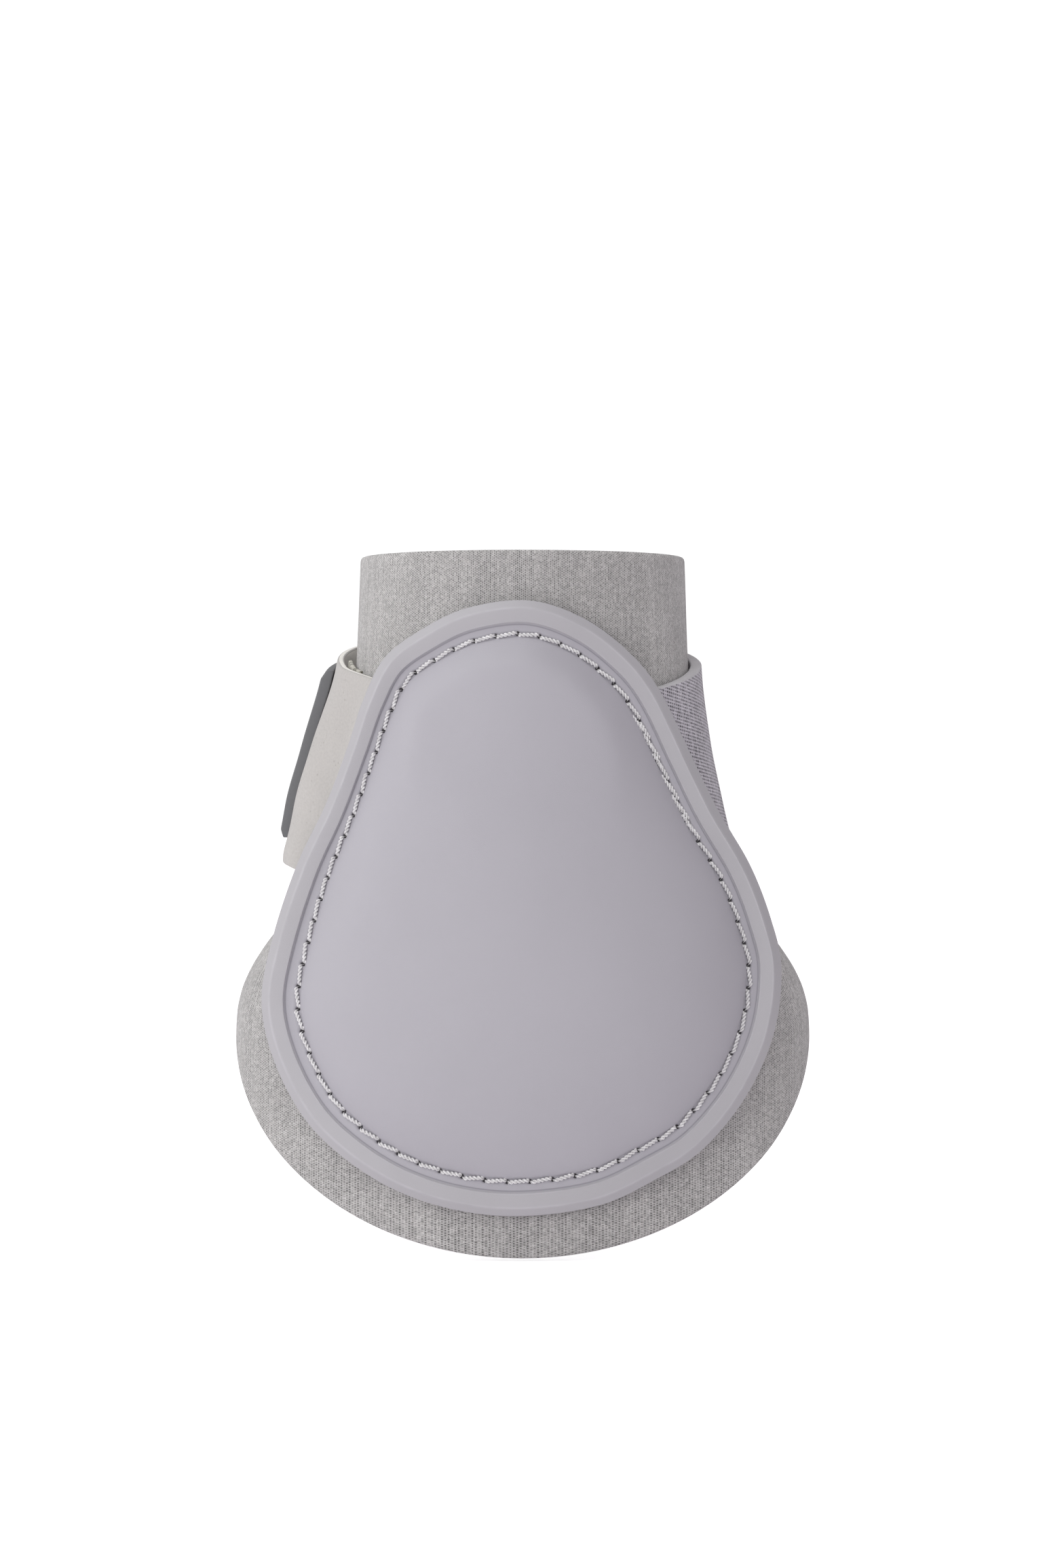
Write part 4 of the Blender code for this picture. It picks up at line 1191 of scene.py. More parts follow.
@dataclass
class MouldedShell:
    """The pear-shaped moulding with its seam, and the pad in its hollow."""

    form: ShellForm
    profile: ShellProfile = field(default_factory=ShellProfile)
    strap_top: float = 0.122
    strap_width: float = 0.046
    pocket_margin: float = 0.0045
    pocket_fade: float = 0.004
    pocket_depth: float = 0.0016 + GAP
    edge_round: float = 0.0002
    least_wall: float = 0.0004
    hole_softness: float = 2.2
    panel_rows_per_stitch: int = 10
    pad_columns: int = 180
    pad_columns_per_stitch: int = 4
    pad_rings: int = 12
    pad_middle: float = 0.1
    thread: Thread = Thread(0.00025, 2.7, 0.00012, 0.0010, 0.96, 7)
    thread_height: float = 1.3
    slant: float = 0.00034
    backtack_shift: float = 1.5
    backtack_wander: float = 0.00028
    backtack_seed: int = 11
    backtack: tuple[Pair, Pair] = (
        (0.0234, 0.1168), (0.0378, 0.0878))

    def underside(self, points: Array) -> Array:
        """Height of the flange's underside: on the wrap, and over the strap ends."""
        above = (points[:, 1] - self.strap_top - self.pocket_margin) / self.pocket_fade
        below = (self.strap_top - self.strap_width - self.pocket_margin - points[:, 1])
        share = 1.0 - ease(np.maximum(above, below / self.pocket_fade))
        return GAP + share * self.pocket_depth

    def dome(self, edge: Array, top: float, steps: int) -> list[Array]:
        """Rings of the domed panel, from its foot to near its middle.

        Args:
            edge: Points (x, z) of its foot.
            top: Height of its foot off the arc.
            steps: Count of rings.

        Returns:
            The rings.
        """
        p, centre = self.profile, self.form.centre()
        depth = np.sum((centre - edge) * inward_of(edge), axis=-1)
        depth = softened(depth, p.softening_share)
        crisp = p.crispness(edge[:, 1])
        rings = []
        for share in (np.arange(steps) / steps) ** p.dome_pace:
            lift = p.rise(depth * share, crisp) + p.crown * (1.0 - (1.0 - share) ** 2)
            rings.append(self.form.raised(mix(edge, centre, share), top + lift))
        return rings

    def middles(self, low: float, high: float) -> tuple[Array, Array]:
        """Middle points that close a stack of rings below and above."""
        middle = self.form.centre()[None, :]
        return self.form.raised(middle, low)[0], self.form.raised(middle, high)[0]

    def build(self) -> Item:
        """Make the shell's closed mesh, with a dimple at each needle hole."""
        p, form = self.profile, self.form
        outline, inward, stitches = form.columns()
        unit_run = np.arange(len(outline)) / form.columns_per_stitch
        along = (np.mod(unit_run + 0.5, 1.0) - 0.5) * form.pitch
        foot = p.foot(form.seam_inset)
        cavity = form.inset(outline, inward, foot + p.cavity_inset)
        rings = self.dome(cavity, p.floor - p.wall, p.hollow_steps)[::-1]
        insets = [foot + p.cavity_inset] * len(rings)

        def add(inset: float, height: Array | float) -> None:
            """Add a ring at an inset."""
            rings.append(form.raised(form.inset(outline, inward, inset), height))
            insets.append(inset)

        add(foot + p.cavity_inset / 2.0, GAP)
        for inset in (foot, form.seam_inset, p.rim_width, p.rim_width / 2.0, self.edge_round):
            add(inset, self.underside(form.inset(outline, inward, inset)))
        add(0.0, self.underside(outline) + self.edge_round)
        lean = -np.sum(form.base(outline)[1][:, [0, 2]] * unit(inward), axis=-1)
        side = (outline[:, 0] / form.half_width + 1.0) / 2.0
        for inset, height in p.rows(form.seam_inset):
            away = ((inset - form.seam_inset) / p.hole_half_length) ** 2
            hole = 1.0 - ease((away + (along / p.hole_half_width) ** 2) / self.hole_softness)
            floor = height + p.facing(inset, form.seam_inset, side) * lean
            floor = np.maximum(floor, self.underside(outline) + self.least_wall)
            rings.append(form.raised(form.inset(outline, inward, inset),
                                     floor - p.hole_depth * hole, floor))
            insets.append(inset)
        panel = self.dome(form.inset(outline, inward, foot), p.floor, p.dome_steps)[1:]
        rings += panel
        insets += [foot + (k + 1) * form.pitch / self.panel_rows_per_stitch
                   for k in range(len(panel))]
        top = p.shoulder_height + p.crown
        ends = self.middles(p.floor - p.wall + top, p.floor + top)
        item = loft("moulded_shell", rings, ends, np.array(insets), 1.0 / form.columns_per_stitch)
        LOG.info("moulded_shell: %d stitches", stitches)
        return item

    def build_pad(self) -> Item:
        """Make the foam pad that fills the hollow."""
        p, form = self.profile, self.form
        outline, inward, _ = form.columns()
        keep = np.linspace(0, len(outline), self.pad_columns, endpoint=False).astype(int)
        outline, inward = outline[keep], inward[keep]
        edge = form.inset(outline, inward, p.foot(form.seam_inset) + p.cavity_inset + GAP)
        rings = [form.raised(mix(form.centre(), edge, share), GAP)
                 for share in np.linspace(self.pad_middle, 1.0, self.pad_rings)]
        low = p.floor - p.wall - GAP
        rings += self.dome(edge + inward * GAP / 2.0, low, p.hollow_steps)
        ends = self.middles(GAP, low + p.shoulder_height + p.crown)
        rows = np.linspace(0.0, form.height, len(rings))
        return loft("foam_pad", rings, ends, rows, form.pitch / self.pad_columns_per_stitch)

    def stitch_points(self) -> Places:
        """Place the seam's stitches, and the second row of its backtack."""
        form, p = self.form, self.profile
        outline, inward, stitches = form.columns()
        spacing = form.columns_per_stitch
        starts = np.arange(stitches) * spacing
        shift = np.zeros(stitches)
        seam = form.inset(outline, inward, form.seam_inset)
        ends = [int(np.argmin(np.linalg.norm(seam - spot, axis=1))) for spot in self.backtack]
        low, high = min(ends) // spacing, max(ends) // spacing
        extra = np.arange(low, high) * spacing + spacing // 2
        random = np.random.default_rng(self.backtack_seed)
        wander = random.uniform(-1.0, 1.0, len(extra)) * self.backtack_wander
        starts = np.concatenate([starts, extra])
        shift = np.concatenate([shift, self.slant * self.backtack_shift + wander])
        far = (starts + spacing) % len(outline)
        inset_a = form.seam_inset - self.slant + shift
        inset_b = form.seam_inset + self.slant + shift
        near = starts % len(outline)
        a = form.inset(outline[near], inward[near], inset_a)
        b = form.inset(outline[far], inward[far], inset_b)
        lift = p.floor - p.groove_depth + self.thread.ply_radius * self.thread_height
        middle = (a + b) / 2.0
        return stitched(form.raised(a, lift), form.raised(b, lift), form.raised(middle, lift),
                        form.base(middle)[1], self.thread)


def stitched(first: Array, last: Array, middle: Array, normal: Array, thread: Thread) -> Places:
    """Places of stitches between their first and last holes, with their scales."""
    length = np.linalg.norm(last - first, axis=1) * thread.share
    stretch = np.stack([length, np.ones_like(length), np.ones_like(length)], axis=-1)
    return middle, normal, unit(last - first), stretch


def loft(name: str, rings: list[Array], ends: tuple[Array, Array], rows: Array,
         column_unit: float) -> Item:
    """Close a stack of rings into a mesh.

    Args:
        name: Name of the piece.
        rings: Rings of points, all of one count.
        ends: Middle points of the first and the last ring's fans.
        rows: UV place of each ring across the stack.
        column_unit: UV step from one column to the next.

    Returns:
        The piece.
    """
    stack = np.stack(rings)
    count, size = stack.shape[:2]
    points = np.vstack([stack.reshape(-1, 3), ends[0], ends[1]])
    at = np.arange(count * size).reshape(count, size)
    after = np.roll(at, -1, axis=1)
    quads = np.stack([at[:-1], after[:-1], after[1:], at[1:]], axis=-1).reshape(-1, 4)
    low = np.stack([after[0], at[0], np.full(size, count * size)], axis=-1)
    high = np.stack([at[-1], after[-1], np.full(size, count * size + 1)], axis=-1)
    item = new_piece(name, points, quads.tolist() + low.tolist() + high.tolist())
    u = np.arange(size) * column_unit
    u = np.stack([u, u + column_unit, u + column_unit, u], axis=-1)
    v = np.stack([rows[:-1], rows[:-1], rows[1:], rows[1:]], axis=-1)
    u, v = np.broadcast_arrays(u[None, :, :], v[:, None, :])
    fans = []
    for row, order in ((rows[0], (1, 0, 3)), (rows[-1], (0, 1, 3))):
        corner = u[0][:, list(order)]
        fans.append(np.stack([corner, np.full_like(corner, row)], axis=-1).reshape(-1, 2))
    set_uv(item.data, np.vstack([np.stack([u, v], axis=-1).reshape(-1, 2)] + fans))
    orient(item.data)
    return item


@dataclass
class NeopreneWrap:
    """The knitted neoprene wrap and its lining, each in two halves that meet at the front."""

    leg: LegForm
    thickness: float = 0.0032
    lining: float = 0.0012
    back_angle: float = math.radians(166)
    grid: tuple[int, int] = (150, 96)
    wave: float = 0.00022
    ripple_share: float = 0.25
    ripples: tuple[tuple[float, float, float], ...] = ((5.0, 90.0, 0.0), (3.0, -140.0, 1.3))

    def half(self, side: Side, name: str, depth: float, thickness: float,
             lip: float) -> Sheet:
        """Lay out one half of a layer.

        Args:
            side: Which half.
            name: Name of the piece.
            depth: How far inside the wrap's outer face the layer starts.
            thickness: Its thickness.
            lip: Radius of its cut edges.

        Returns:
            The sheet.
        """
        leg = self.leg

        def spot(u: Array, v: Array) -> tuple[Array, Array]:
            """Angle and height at shares of the half."""
            angle = side.value * u * self.back_angle
            return angle, mix(leg.hem(angle), leg.height, v)

        def place(u: Array, v: Array, below: Array) -> Array:
            """Points of the half, rippled a little on its outer face."""
            angle, z = spot(u, v)
            soft = 0.5
            for around, up, phase in self.ripples:
                soft = soft + self.ripple_share * np.sin(angle * around + z * up + phase)
            soft = self.wave * soft * (below < thickness / 2.0)
            return leg.inside(angle, z, depth + below + soft)

        def pattern(u: Array, v: Array) -> Array:
            """Places on the UV map: round the collar and up the leg."""
            angle, z = spot(u, v)
            return np.stack([angle * leg.collar_half_width, z], axis=-1)

        length = self.back_angle * leg.collar_half_width
        return Sheet(name, place, pattern, (length, leg.height / 2.0), thickness, self.grid,
                     lip, flush_start=True)


def fixed(first: float, last: float) -> Callable[[Array], tuple[Array, Array]]:
    """Ends of a band that lie at the same two angles over its whole width."""
    return lambda v: (np.full_like(v, first), np.full_like(v, last))


@dataclass
class Strap:
    """A strap or a tape on it: a band of a strap's form between two angles."""

    form: StrapForm
    name: str
    ends: Callable[[Array], tuple[Array, Array]]
    thickness: float
    lift: float = 0.0
    band: Pair = (0.0, 1.0)
    grid: tuple[int, int] = (110, 34)
    lip: float = 0.0004
    inner_slot: int = 0
    relief: Callable[[Array, Array], Array] | None = None
    pattern_stretch: float = 1.2
    measuring_steps: int = 60
    probe: float = 0.002
    tuft_margin: float = 0.02
    tuft_depth: float = 0.00003
    tuft_scales: Pair = (0.75, 1.15)

    def shares(self, u: Array, v: Array) -> tuple[Array, Array]:
        """Angle round the leg and share of the strap's width."""
        width_share = mix(*self.band, v)
        return mix(*self.ends(width_share), u), width_share

    def place(self, u: Array, v: Array, below: Array) -> Array:
        """Points of the band, a depth below its outer face."""
        angle, width_share = self.shares(u, v)
        lift = self.lift + self.thickness - below
        if self.relief is not None:
            lift = lift - self.relief(u, v) * (below < self.thickness / 2.0)
        return self.form.point(angle, width_share, lift)

    def pattern(self, u: Array, v: Array) -> Array:
        """UV places in metres: along the strap, and across it from its lower edge."""
        angle, width_share = self.shares(u, v)
        along = angle * self.form.shell.leg.collar_half_width * self.pattern_stretch
        return np.stack([along, width_share * self.form.width], axis=-1)

    def size(self) -> Pair:
        """Length and width of the band."""
        u = np.linspace(0.0, 1.0, self.measuring_steps)
        path = self.place(u, np.full_like(u, 0.5), np.zeros_like(u))
        length = float(np.linalg.norm(np.diff(path, axis=0), axis=1).sum())
        return length, (self.band[1] - self.band[0]) * self.form.width

    def sheet(self) -> Sheet:
        """Lay out the band as a sheet."""
        return Sheet(self.name, self.place, self.pattern, self.size(), self.thickness, self.grid,
                     self.lip, inner_slot=self.inner_slot)

    def face(self, u: Array, v: Array, above: float = 0.0,
             inner: bool = False) -> tuple[Array, Array]:
        """Find places over a face of the band.

        Args:
            u: Shares along the band.
            v: Shares across it.
            above: Height over the face.
            inner: Whether it is the face towards the leg.

        Returns:
            Points and the normals of the face there.
        """
        way = -1.0 if inner else 1.0
        depth = np.full_like(u, (self.thickness if inner else 0.0) - way * above)
        here = self.place(u, v, depth)
        run = unit(self.place(u + self.probe, v, depth) - here)
        rise = unit(self.place(u, v + self.probe, depth) - here)
        normal = unit(np.cross(run, rise))
        outward = self.place(u, v, depth - way * self.thickness) - here
        return here, normal * np.sign(np.sum(normal * outward, axis=-1, keepdims=True))

    def box_stitches(self, inset: float, pitch: float, thread: Thread) -> Places:
        """Place a box of stitches inside the band's edges.

        Args:
            inset: Distance of the box from the edges.
            pitch: Wanted distance from one stitch to the next.
            thread: The stitches' thread, which lies its plies' radius over the outer face.

        Returns:
            Middles, normals, directions and scales.
        """
        length, width = self.size()
        far_u, far_v = inset / length, inset / width
        corners = np.array([(far_u, far_v), (1.0 - far_u, far_v), (1.0 - far_u, 1.0 - far_v),
                            (far_u, 1.0 - far_v), (far_u, far_v)])
        starts, ends = [], []
        for first, last in zip(corners, corners[1:]):
            count = round(float(np.hypot(*((last - first) * (length, width)))) / pitch)
            holes = mix(first, last, np.linspace(0.0, 1.0, count + 1)[:, None])
            starts.append(holes[:-1])
            ends.append(holes[1:])
        a, b = np.vstack(starts), np.vstack(ends)
        first, last, middle = (self.face(*spots.T, thread.ply_radius)
                               for spots in (a, b, (a + b) / 2.0))
        return stitched(first[0], last[0], *middle, thread)

    def tufts(self, per_area: float, seed: int, inner: bool = False) -> Places:
        """Scatter places for fibres over a face.

        Args:
            per_area: Fibres on one square metre.
            seed: Seed of their places.
            inner: Whether they stand on the face towards the leg.

        Returns:
            Points, normals, directions and scales.
        """
        random = np.random.default_rng(seed)
        length, width = self.size()
        count = int(per_area * length * width)
        u, v, grown = random.uniform(self.tuft_margin, 1.0 - self.tuft_margin, (3, count))
        points, normals = self.face(u, v, -self.tuft_depth, inner)
        run = unit(np.cross(normals, random.normal(size=(count, 3))))
        scales = mix(*self.tuft_scales, grown)
        return points, normals, run, np.repeat(scales[:, None], 3, axis=1)


@dataclass
class Scatter:
    """Geometry Nodes trees that put small threads, hooks or loops on points."""

    stitch_points: int = 20
    arch_power: float = 3.0
    dip_power: float = 11.0
    ply_sides: int = 6
    stitch_turn: float = 0.06
    fibre_points: int = 7
    fibre_sides: int = 3
    stem_end: float = 0.2
    fibre_turn: float = math.pi
    tilt_share: float = 0.1

    def __post_init__(self) -> None:
        """Build both trees."""
        self.stitches = self._stitches()
        self.pile = self._pile()

    @staticmethod
    def _start(name: str, own: dict[str, float], start: tuple, end: tuple,
               points: int) -> tuple[Group, Socket, Socket]:
        """Start a tree with a line.

        Args:
            name: Name of the tree.
            own: Its inputs besides those that both trees have.
            start: Start of the line.
            end: End of the line.
            points: Count of its points.

        Returns:
            The tree, the line and the share of the way along it.
        """
        n = Group(name, {"Geometry": "Geometry", **own, "Jitter": 1.0, "Seed": 1,
                         "Material": "Material"}, ("Geometry",), "Geometry", "Geometry")
        line = n.add("GeometryNodeCurvePrimitiveLine", {"Start": start, "End": end}).outputs[0]
        line = n.add("GeometryNodeResampleCurve", {"Curve": line, "Count": points}).outputs[0]
        return n, line, n.add("GeometryNodeSplineParameter").outputs["Factor"]

    @staticmethod
    def _tube(n: Group, line: Socket, how: str, axes: dict[int, Socket], sides: int,
              radius: str) -> Socket:
        """Tube along a line; how tells whether the axes hold its points' Position or Offset."""
        ring = n.add("GeometryNodeCurvePrimitiveCircle", {
            "Resolution": sides, "Radius": n.given[radius]}, mode="RADIUS").outputs[0]
        place = n.add("ShaderNodeCombineXYZ", axes).outputs[0]
        bent = n.add("GeometryNodeSetPosition", {"Geometry": line, how: place}).outputs[0]
        return n.add("GeometryNodeCurveToMesh", {"Curve": bent, "Profile Curve": ring,
                                                 "Fill Caps": True}).outputs[0]

    def _finish(self, n: Group, element: Socket, turn: float) -> Tree:
        """Put an element on each point, turned to its attributes, and make it real."""
        lift, run, stretch = (n.add("GeometryNodeInputNamedAttribute", {"Name": name},
                                    data_type="FLOAT_VECTOR").outputs[0]
                              for name in ("lift", "run", "stretch"))
        aim = n.add("FunctionNodeAxesToRotation", {"Primary Axis": lift, "Secondary Axis": run},
                    primary_axis="Z", secondary_axis="X").outputs[0]
        tilt = self.tilt_share * turn
        spin = n.add("FunctionNodeRandomValue", {
            "Min": (-tilt, -tilt, -turn), "Max": (tilt, tilt, turn), "Seed": n.given["Seed"],
        }, data_type="FLOAT_VECTOR")
        jitter = n.add("FunctionNodeEulerToRotation", {0: n.add("ShaderNodeVectorMath", {
            0: spin.outputs[0], 3: n.given["Jitter"]}, operation="SCALE").outputs[0]}).outputs[0]
        turned = n.add("FunctionNodeRotateRotation", {0: aim, 1: jitter},
                       rotation_space="LOCAL").outputs[0]
        made = n.add("GeometryNodeInstanceOnPoints", {
            "Points": n.given["Geometry"], "Instance": element, "Rotation": turned,
            "Scale": stretch}).outputs[0]
        for kind in ("GeometryNodeRealizeInstances", "GeometryNodeSetShadeSmooth"):
            made = n.add(kind, {0: made}).outputs[0]
        made = n.add("GeometryNodeSetMaterial", {
            "Geometry": made, "Material": n.given["Material"]}).outputs[0]
        n.feed(n.results[0], made)
        return n.tree

    def _stitches(self) -> Tree:
        """Stitch of two twisted plies that dips into its holes at both ends."""
        n, line, share = self._start("twisted_stitches", {
            "Ply Radius": 0.0002, "Twists": 3.0, "Rise": 0.0002, "Dip": 0.0008,
        }, (-0.5, 0.0, 0.0), (0.5, 0.0, 0.0), self.stitch_points)
        radius = n.given["Ply Radius"]
        away = n.math("ABSOLUTE", n.math("MULTIPLY_ADD", share, 2.0, -1.0))
        arch = n.math("MULTIPLY", n.given["Rise"], n.math(
            "SUBTRACT", 1.0, n.math("POWER", away, self.arch_power)))
        arch = n.math("SUBTRACT", arch, n.math(
            "MULTIPLY", n.given["Dip"], n.math("POWER", away, self.dip_power)))
        joined = n.add("GeometryNodeJoinGeometry")
        for phase in (0.0, math.pi):
            turn = n.math("MULTIPLY_ADD", n.math("MULTIPLY", share, n.given["Twists"]),
                          math.tau, phase)
            axes = {1: n.math("MULTIPLY", n.math("COSINE", turn), radius),
                    2: n.math("MULTIPLY_ADD", n.math("SINE", turn), radius, arch)}
            tube = self._tube(n, line, "Offset", axes, self.ply_sides, "Ply Radius")
            n.feed(joined.inputs[0], tube)
        return self._finish(n, joined.outputs[0], self.stitch_turn)

    def _pile(self) -> Tree:
        """Short bent fibre: a hook, a loop or a nap hair, by how far it curls."""
        n, line, share = self._start("bent_fibres", {
            "Bend Radius": 0.0004, "Curl": 3.0, "Stem": 0.0003, "Thickness": 0.00006,
        }, (0.0, 0.0, 0.0), (0.0, 0.0, 1.0), self.fibre_points)
        radius = n.given["Bend Radius"]
        turn = n.math("MULTIPLY", share, n.given["Curl"])
        stem = n.math("MULTIPLY", n.given["Stem"], n.ramp(share, 0.0, self.stem_end))
        axes = {0: n.math("MULTIPLY", radius, n.math("SUBTRACT", 1.0, n.math("COSINE", turn))),
                2: n.math("MULTIPLY_ADD", n.math("SINE", turn), radius, stem)}
        tube = self._tube(n, line, "Position", axes, self.fibre_sides, "Thickness")
        return self._finish(n, tube, self.fibre_turn)

    @staticmethod
    def spread(name: str, tree: Tree, places: Places, material: Material,
               element: Thread | Fibre) -> Item:
        """Run a tree on points and keep its result as a plain mesh.

        Args:
            name: Name of the piece.
            tree: The tree.
            places: Points of the elements, with their normals, directions and scales.
            material: Their material.
            element: The thread or fibre, which holds the tree's other inputs.

        Returns:
            The piece.
        """
        mesh = bpy.data.meshes.new(name + "_points")
        mesh.from_pydata(places[0].tolist(), [], [])
        for label, data in zip(("lift", "run", "stretch"), places[1:]):
            layer = mesh.attributes.new(label, "FLOAT_VECTOR", "POINT")
            layer.data.foreach_set("vector", data.astype(np.float32).ravel())
        guide = linked(name + "_guide", mesh)
        modifier = guide.modifiers.new("scatter", "NODES")
        modifier.node_group = tree
        values = {**vars(element), "material": material}
        for item in tree.interface.items_tree:
            key = item.name.replace(" ", "_").lower()
            if item.item_type == "SOCKET" and item.in_out == "INPUT" and key in values:
                modifier[item.identifier] = values[key]
        bpy.context.view_layer.update()
        graph = bpy.context.evaluated_depsgraph_get()
        made = bpy.data.meshes.new_from_object(guide.evaluated_get(graph))
        bpy.data.objects.remove(guide)
        made.name = name
        return linked(name, made)


def dress(item: Item, slot: Slot, *materials: Material) -> None:
    """Give a piece its materials, and report it."""
    for material in materials:
        if item.data.materials.find(material.name) < 0:
            item.data.materials.append(material)
    LOG.info("%s: %d faces", item.name, len(item.data.polygons))


def bend_at(item: Item, hinge: str, child: str, before: float, after: float) -> None:
    """Find a joint's place and axis, and bake a piece's transform; the piece is not bent."""
    found = next(j for j in frame["joints"] if j["name"] == hinge)
    place, axis = Vector(found["pos_m"]), Vector(found["axis"]).normalized()
    way = (BACKWARD - axis * BACKWARD.dot(axis)).normalized()
    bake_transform(item)


@dataclass
class Boot:
    """The whole boot: its forms, its finishes and its pieces."""

    leg: LegForm = field(default_factory=LegForm)
    wing_bend: Pair = (0.001, 0.020)
    strap_bend: Pair = (0.001, 0.008)
    wrap_lips: Pair = (0.0007, 0.0004)
    box_thread: Thread = Thread(0.00011, 2.0, 0.00005, 0.00045, 0.93, 3)
    box_inset: float = 0.0018
    box_pitch: float = 0.0026
    loop: Fibre = Fibre(1.1e6, 0.00020, 5.4, 0.00012, 0.00004, 5)
    hook: Fibre = Fibre(6.0e5, 0.00020, 4.1, 0.00022, 0.00006, 6, 0.15)
    hair: Fibre = Fibre(1.5e6, 0.00032, 2.3, 0.00025, 0.00004, 9)
    hair_seeds: tuple[int, int] = (8, 9)
    tab_grid: tuple[int, int] = (150, 34)
    elastic_grid: tuple[int, int] = (170, 34)
    tape_grid: tuple[int, int] = (40, 60)
    backing_grid: tuple[int, int] = (24, 60)
    badge_grid: tuple[int, int] = (90, 80)
    tape_base: float = 0.0004
    tape_margin: float = 0.004
    tape_start: float = math.radians(-140)
    tape_end: float = math.radians(-168)
    tape_lip: float = 0.00015
    tab_tip: float = math.radians(-172)
    tab_hinge: Pair = (math.radians(-100), math.radians(-92))
    elastic_tip: float = math.radians(225)
    backing_share: float = 0.55
    backing_lip: float = 0.0003
    backing_thickness: float = 0.0009
    backing_clearance: float = 0.0009
    badge_end: float = math.radians(-140)
    badge_margin: float = math.radians(2.5)
    badge_band: Pair = (0.098, 0.938)
    badge_thickness: float = 0.0026
    badge_border: Pair = (0.10, 0.085)
    badge_border_edge: Pair = (0.8, 0.35)
    badge_field_depth: float = 0.0005
    badge_end_share: float = 0.05
    badge_end_depth: float = 0.0009

    def __post_init__(self) -> None:
        """Build the forms, the shared effects and the materials."""
        self.shell_form = ShellForm(self.leg)
        self.tab_form = StrapForm(
            self.shell_form, Side.TAB, width=0.0449, top=0.1268, rises=(0.0080, 0.0082),
            drops=(0.0040, 0.0), clearance=0.0012)
        self.elastic_form = StrapForm(
            self.shell_form, Side.ELASTIC, width=0.0468, top=0.1264, rises=(0.0078, 0.0078),
            drops=(0.0050, 0.0012), clearance=0.0003, thickness=0.0025)
        self.shell = MouldedShell(self.shell_form)
        self.scatter = Scatter()
        effects = Effects()
        self.polyurethane = ShellFinish(form=self.shell_form,
                                        profile=self.shell.profile).build(effects)
        self.knit = ClothFinish(
            "knit_face", light=(0.495, 0.483, 0.476), dark=(0.085, 0.083, 0.08),
            cell=(0.00042, 0.00052), dot=(0.29, 0.29), unevenness=0.70, dots_weight=0.95,
            relief=0.00010).build(effects)
        self.lining_knit = ClothFinish(
            "brushed_lining", light=(0.33, 0.32, 0.325), dark=(0.12, 0.115, 0.12),
            cell=(0.0009, 0.0007), dot=(0.2, 0.32), relief=0.0002, fuzz=1.2,
            sheen=0.4).build(effects)
        self.webbing = ClothFinish(
            "elastic_weave", light=(0.60, 0.57, 0.625), dark=(0.012, 0.010, 0.018),
            cell=(0.00078, 0.00072), shift=0.36, dot=(0.41, 0.28), tilt=0.55, dots_weight=1.0,
            relief=0.00030, blotch=0.15, selvedge=(self.elastic_form.width, 0.0004),
            selvedge_colour=(0.60, 0.585, 0.605)).build(effects)
        self.faced = FacedFabricFinish().build(effects)
        # The tab's brushed back: partly its own pale colour, partly painted light, raised near
        # white to brighten the shaded inside of the loop.
        self.brushed = FacedFabricFinish(
            "brushed_back", colour=(0.93, 0.91, 0.86), speck=(0.70, 0.68, 0.60),
            roughness=0.9).build(effects)
        self.nap = PileFinish(
            "loop_nap", first=(0.66, 0.64, 0.57), second=(0.14, 0.135, 0.095), scale=900.0,
            relief=0.00030, sheen=0.3, contrast=(0.46, 0.66)).build(effects)
        self.hooks = PileFinish(
            "hook_base", first=(0.43, 0.42, 0.41), second=(0.33, 0.32, 0.31), scale=1200.0,
            relief=0.00008, roughness=0.6).build(effects)
        self.sponge = PileFinish(
            "neoprene_core", first=(0.15, 0.15, 0.155), second=(0.05, 0.05, 0.052),
            scale=2400.0).build(effects)
        self.foam = PileFinish(
            "pad_foam", first=(0.21, 0.21, 0.22), second=(0.09, 0.09, 0.10), scale=1400.0,
            relief=0.00015).build(effects)
        self.thread = ThreadFinish().build(effects)
        self.pale_thread = ThreadFinish("tape_thread", colour=(0.56, 0.54, 0.52),
                                        shade=(0.36, 0.34, 0.33)).build(effects)
        self.rubber = RubberFinish().build(effects)

    def lay(self, band: Strap, slot: Slot, materials: tuple[Material, ...],
            rests_on: list[str], held: Hold = Hold.LAID) -> Item:
        """Make a band as a sheet of cloth that rests on other pieces."""
        sheet = band.sheet()
        item = sheet.build()
        dress(item, slot, *materials)
        sheet.declare(item, held, rests_on)
        return item

    def tape(self, form: StrapForm, name: str, lift: float) -> Strap:
        """Lay out a tape sewn near a strap's end; the elastic comes from the other way round."""
        margin = self.tape_margin / form.width
        ends = (self.tape_start, self.tape_end)
        if form.side is Side.ELASTIC:
            ends = (math.tau + self.tape_end, math.tau + self.tape_start)
        return Strap(form, name, fixed(*ends), self.tape_base, lift, band=(margin, 1.0 - margin),
                     grid=self.tape_grid, lip=self.tape_lip)

    def add_fibres(self, name: str, body: str, slot: Slot, material: Material,
                   places: Places, fibre: Fibre) -> None:
        """Stand hooks, loops or nap on a band, as one piece that rides with it."""
        item = self.scatter.spread(name, self.scatter.pile, places, material, fibre)
        dress(item, slot)
        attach(item, body)

    def add_box(self, name: str, band: Strap, body: str, slot: Slot) -> None:
        """Sew a box of small stitches on a band."""
        places = band.box_stitches(self.box_inset, self.box_pitch, self.box_thread)
        item = self.scatter.spread(name, self.scatter.stitches, places, self.pale_thread,
                                   self.box_thread)
        dress(item, slot)
        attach(item, body)

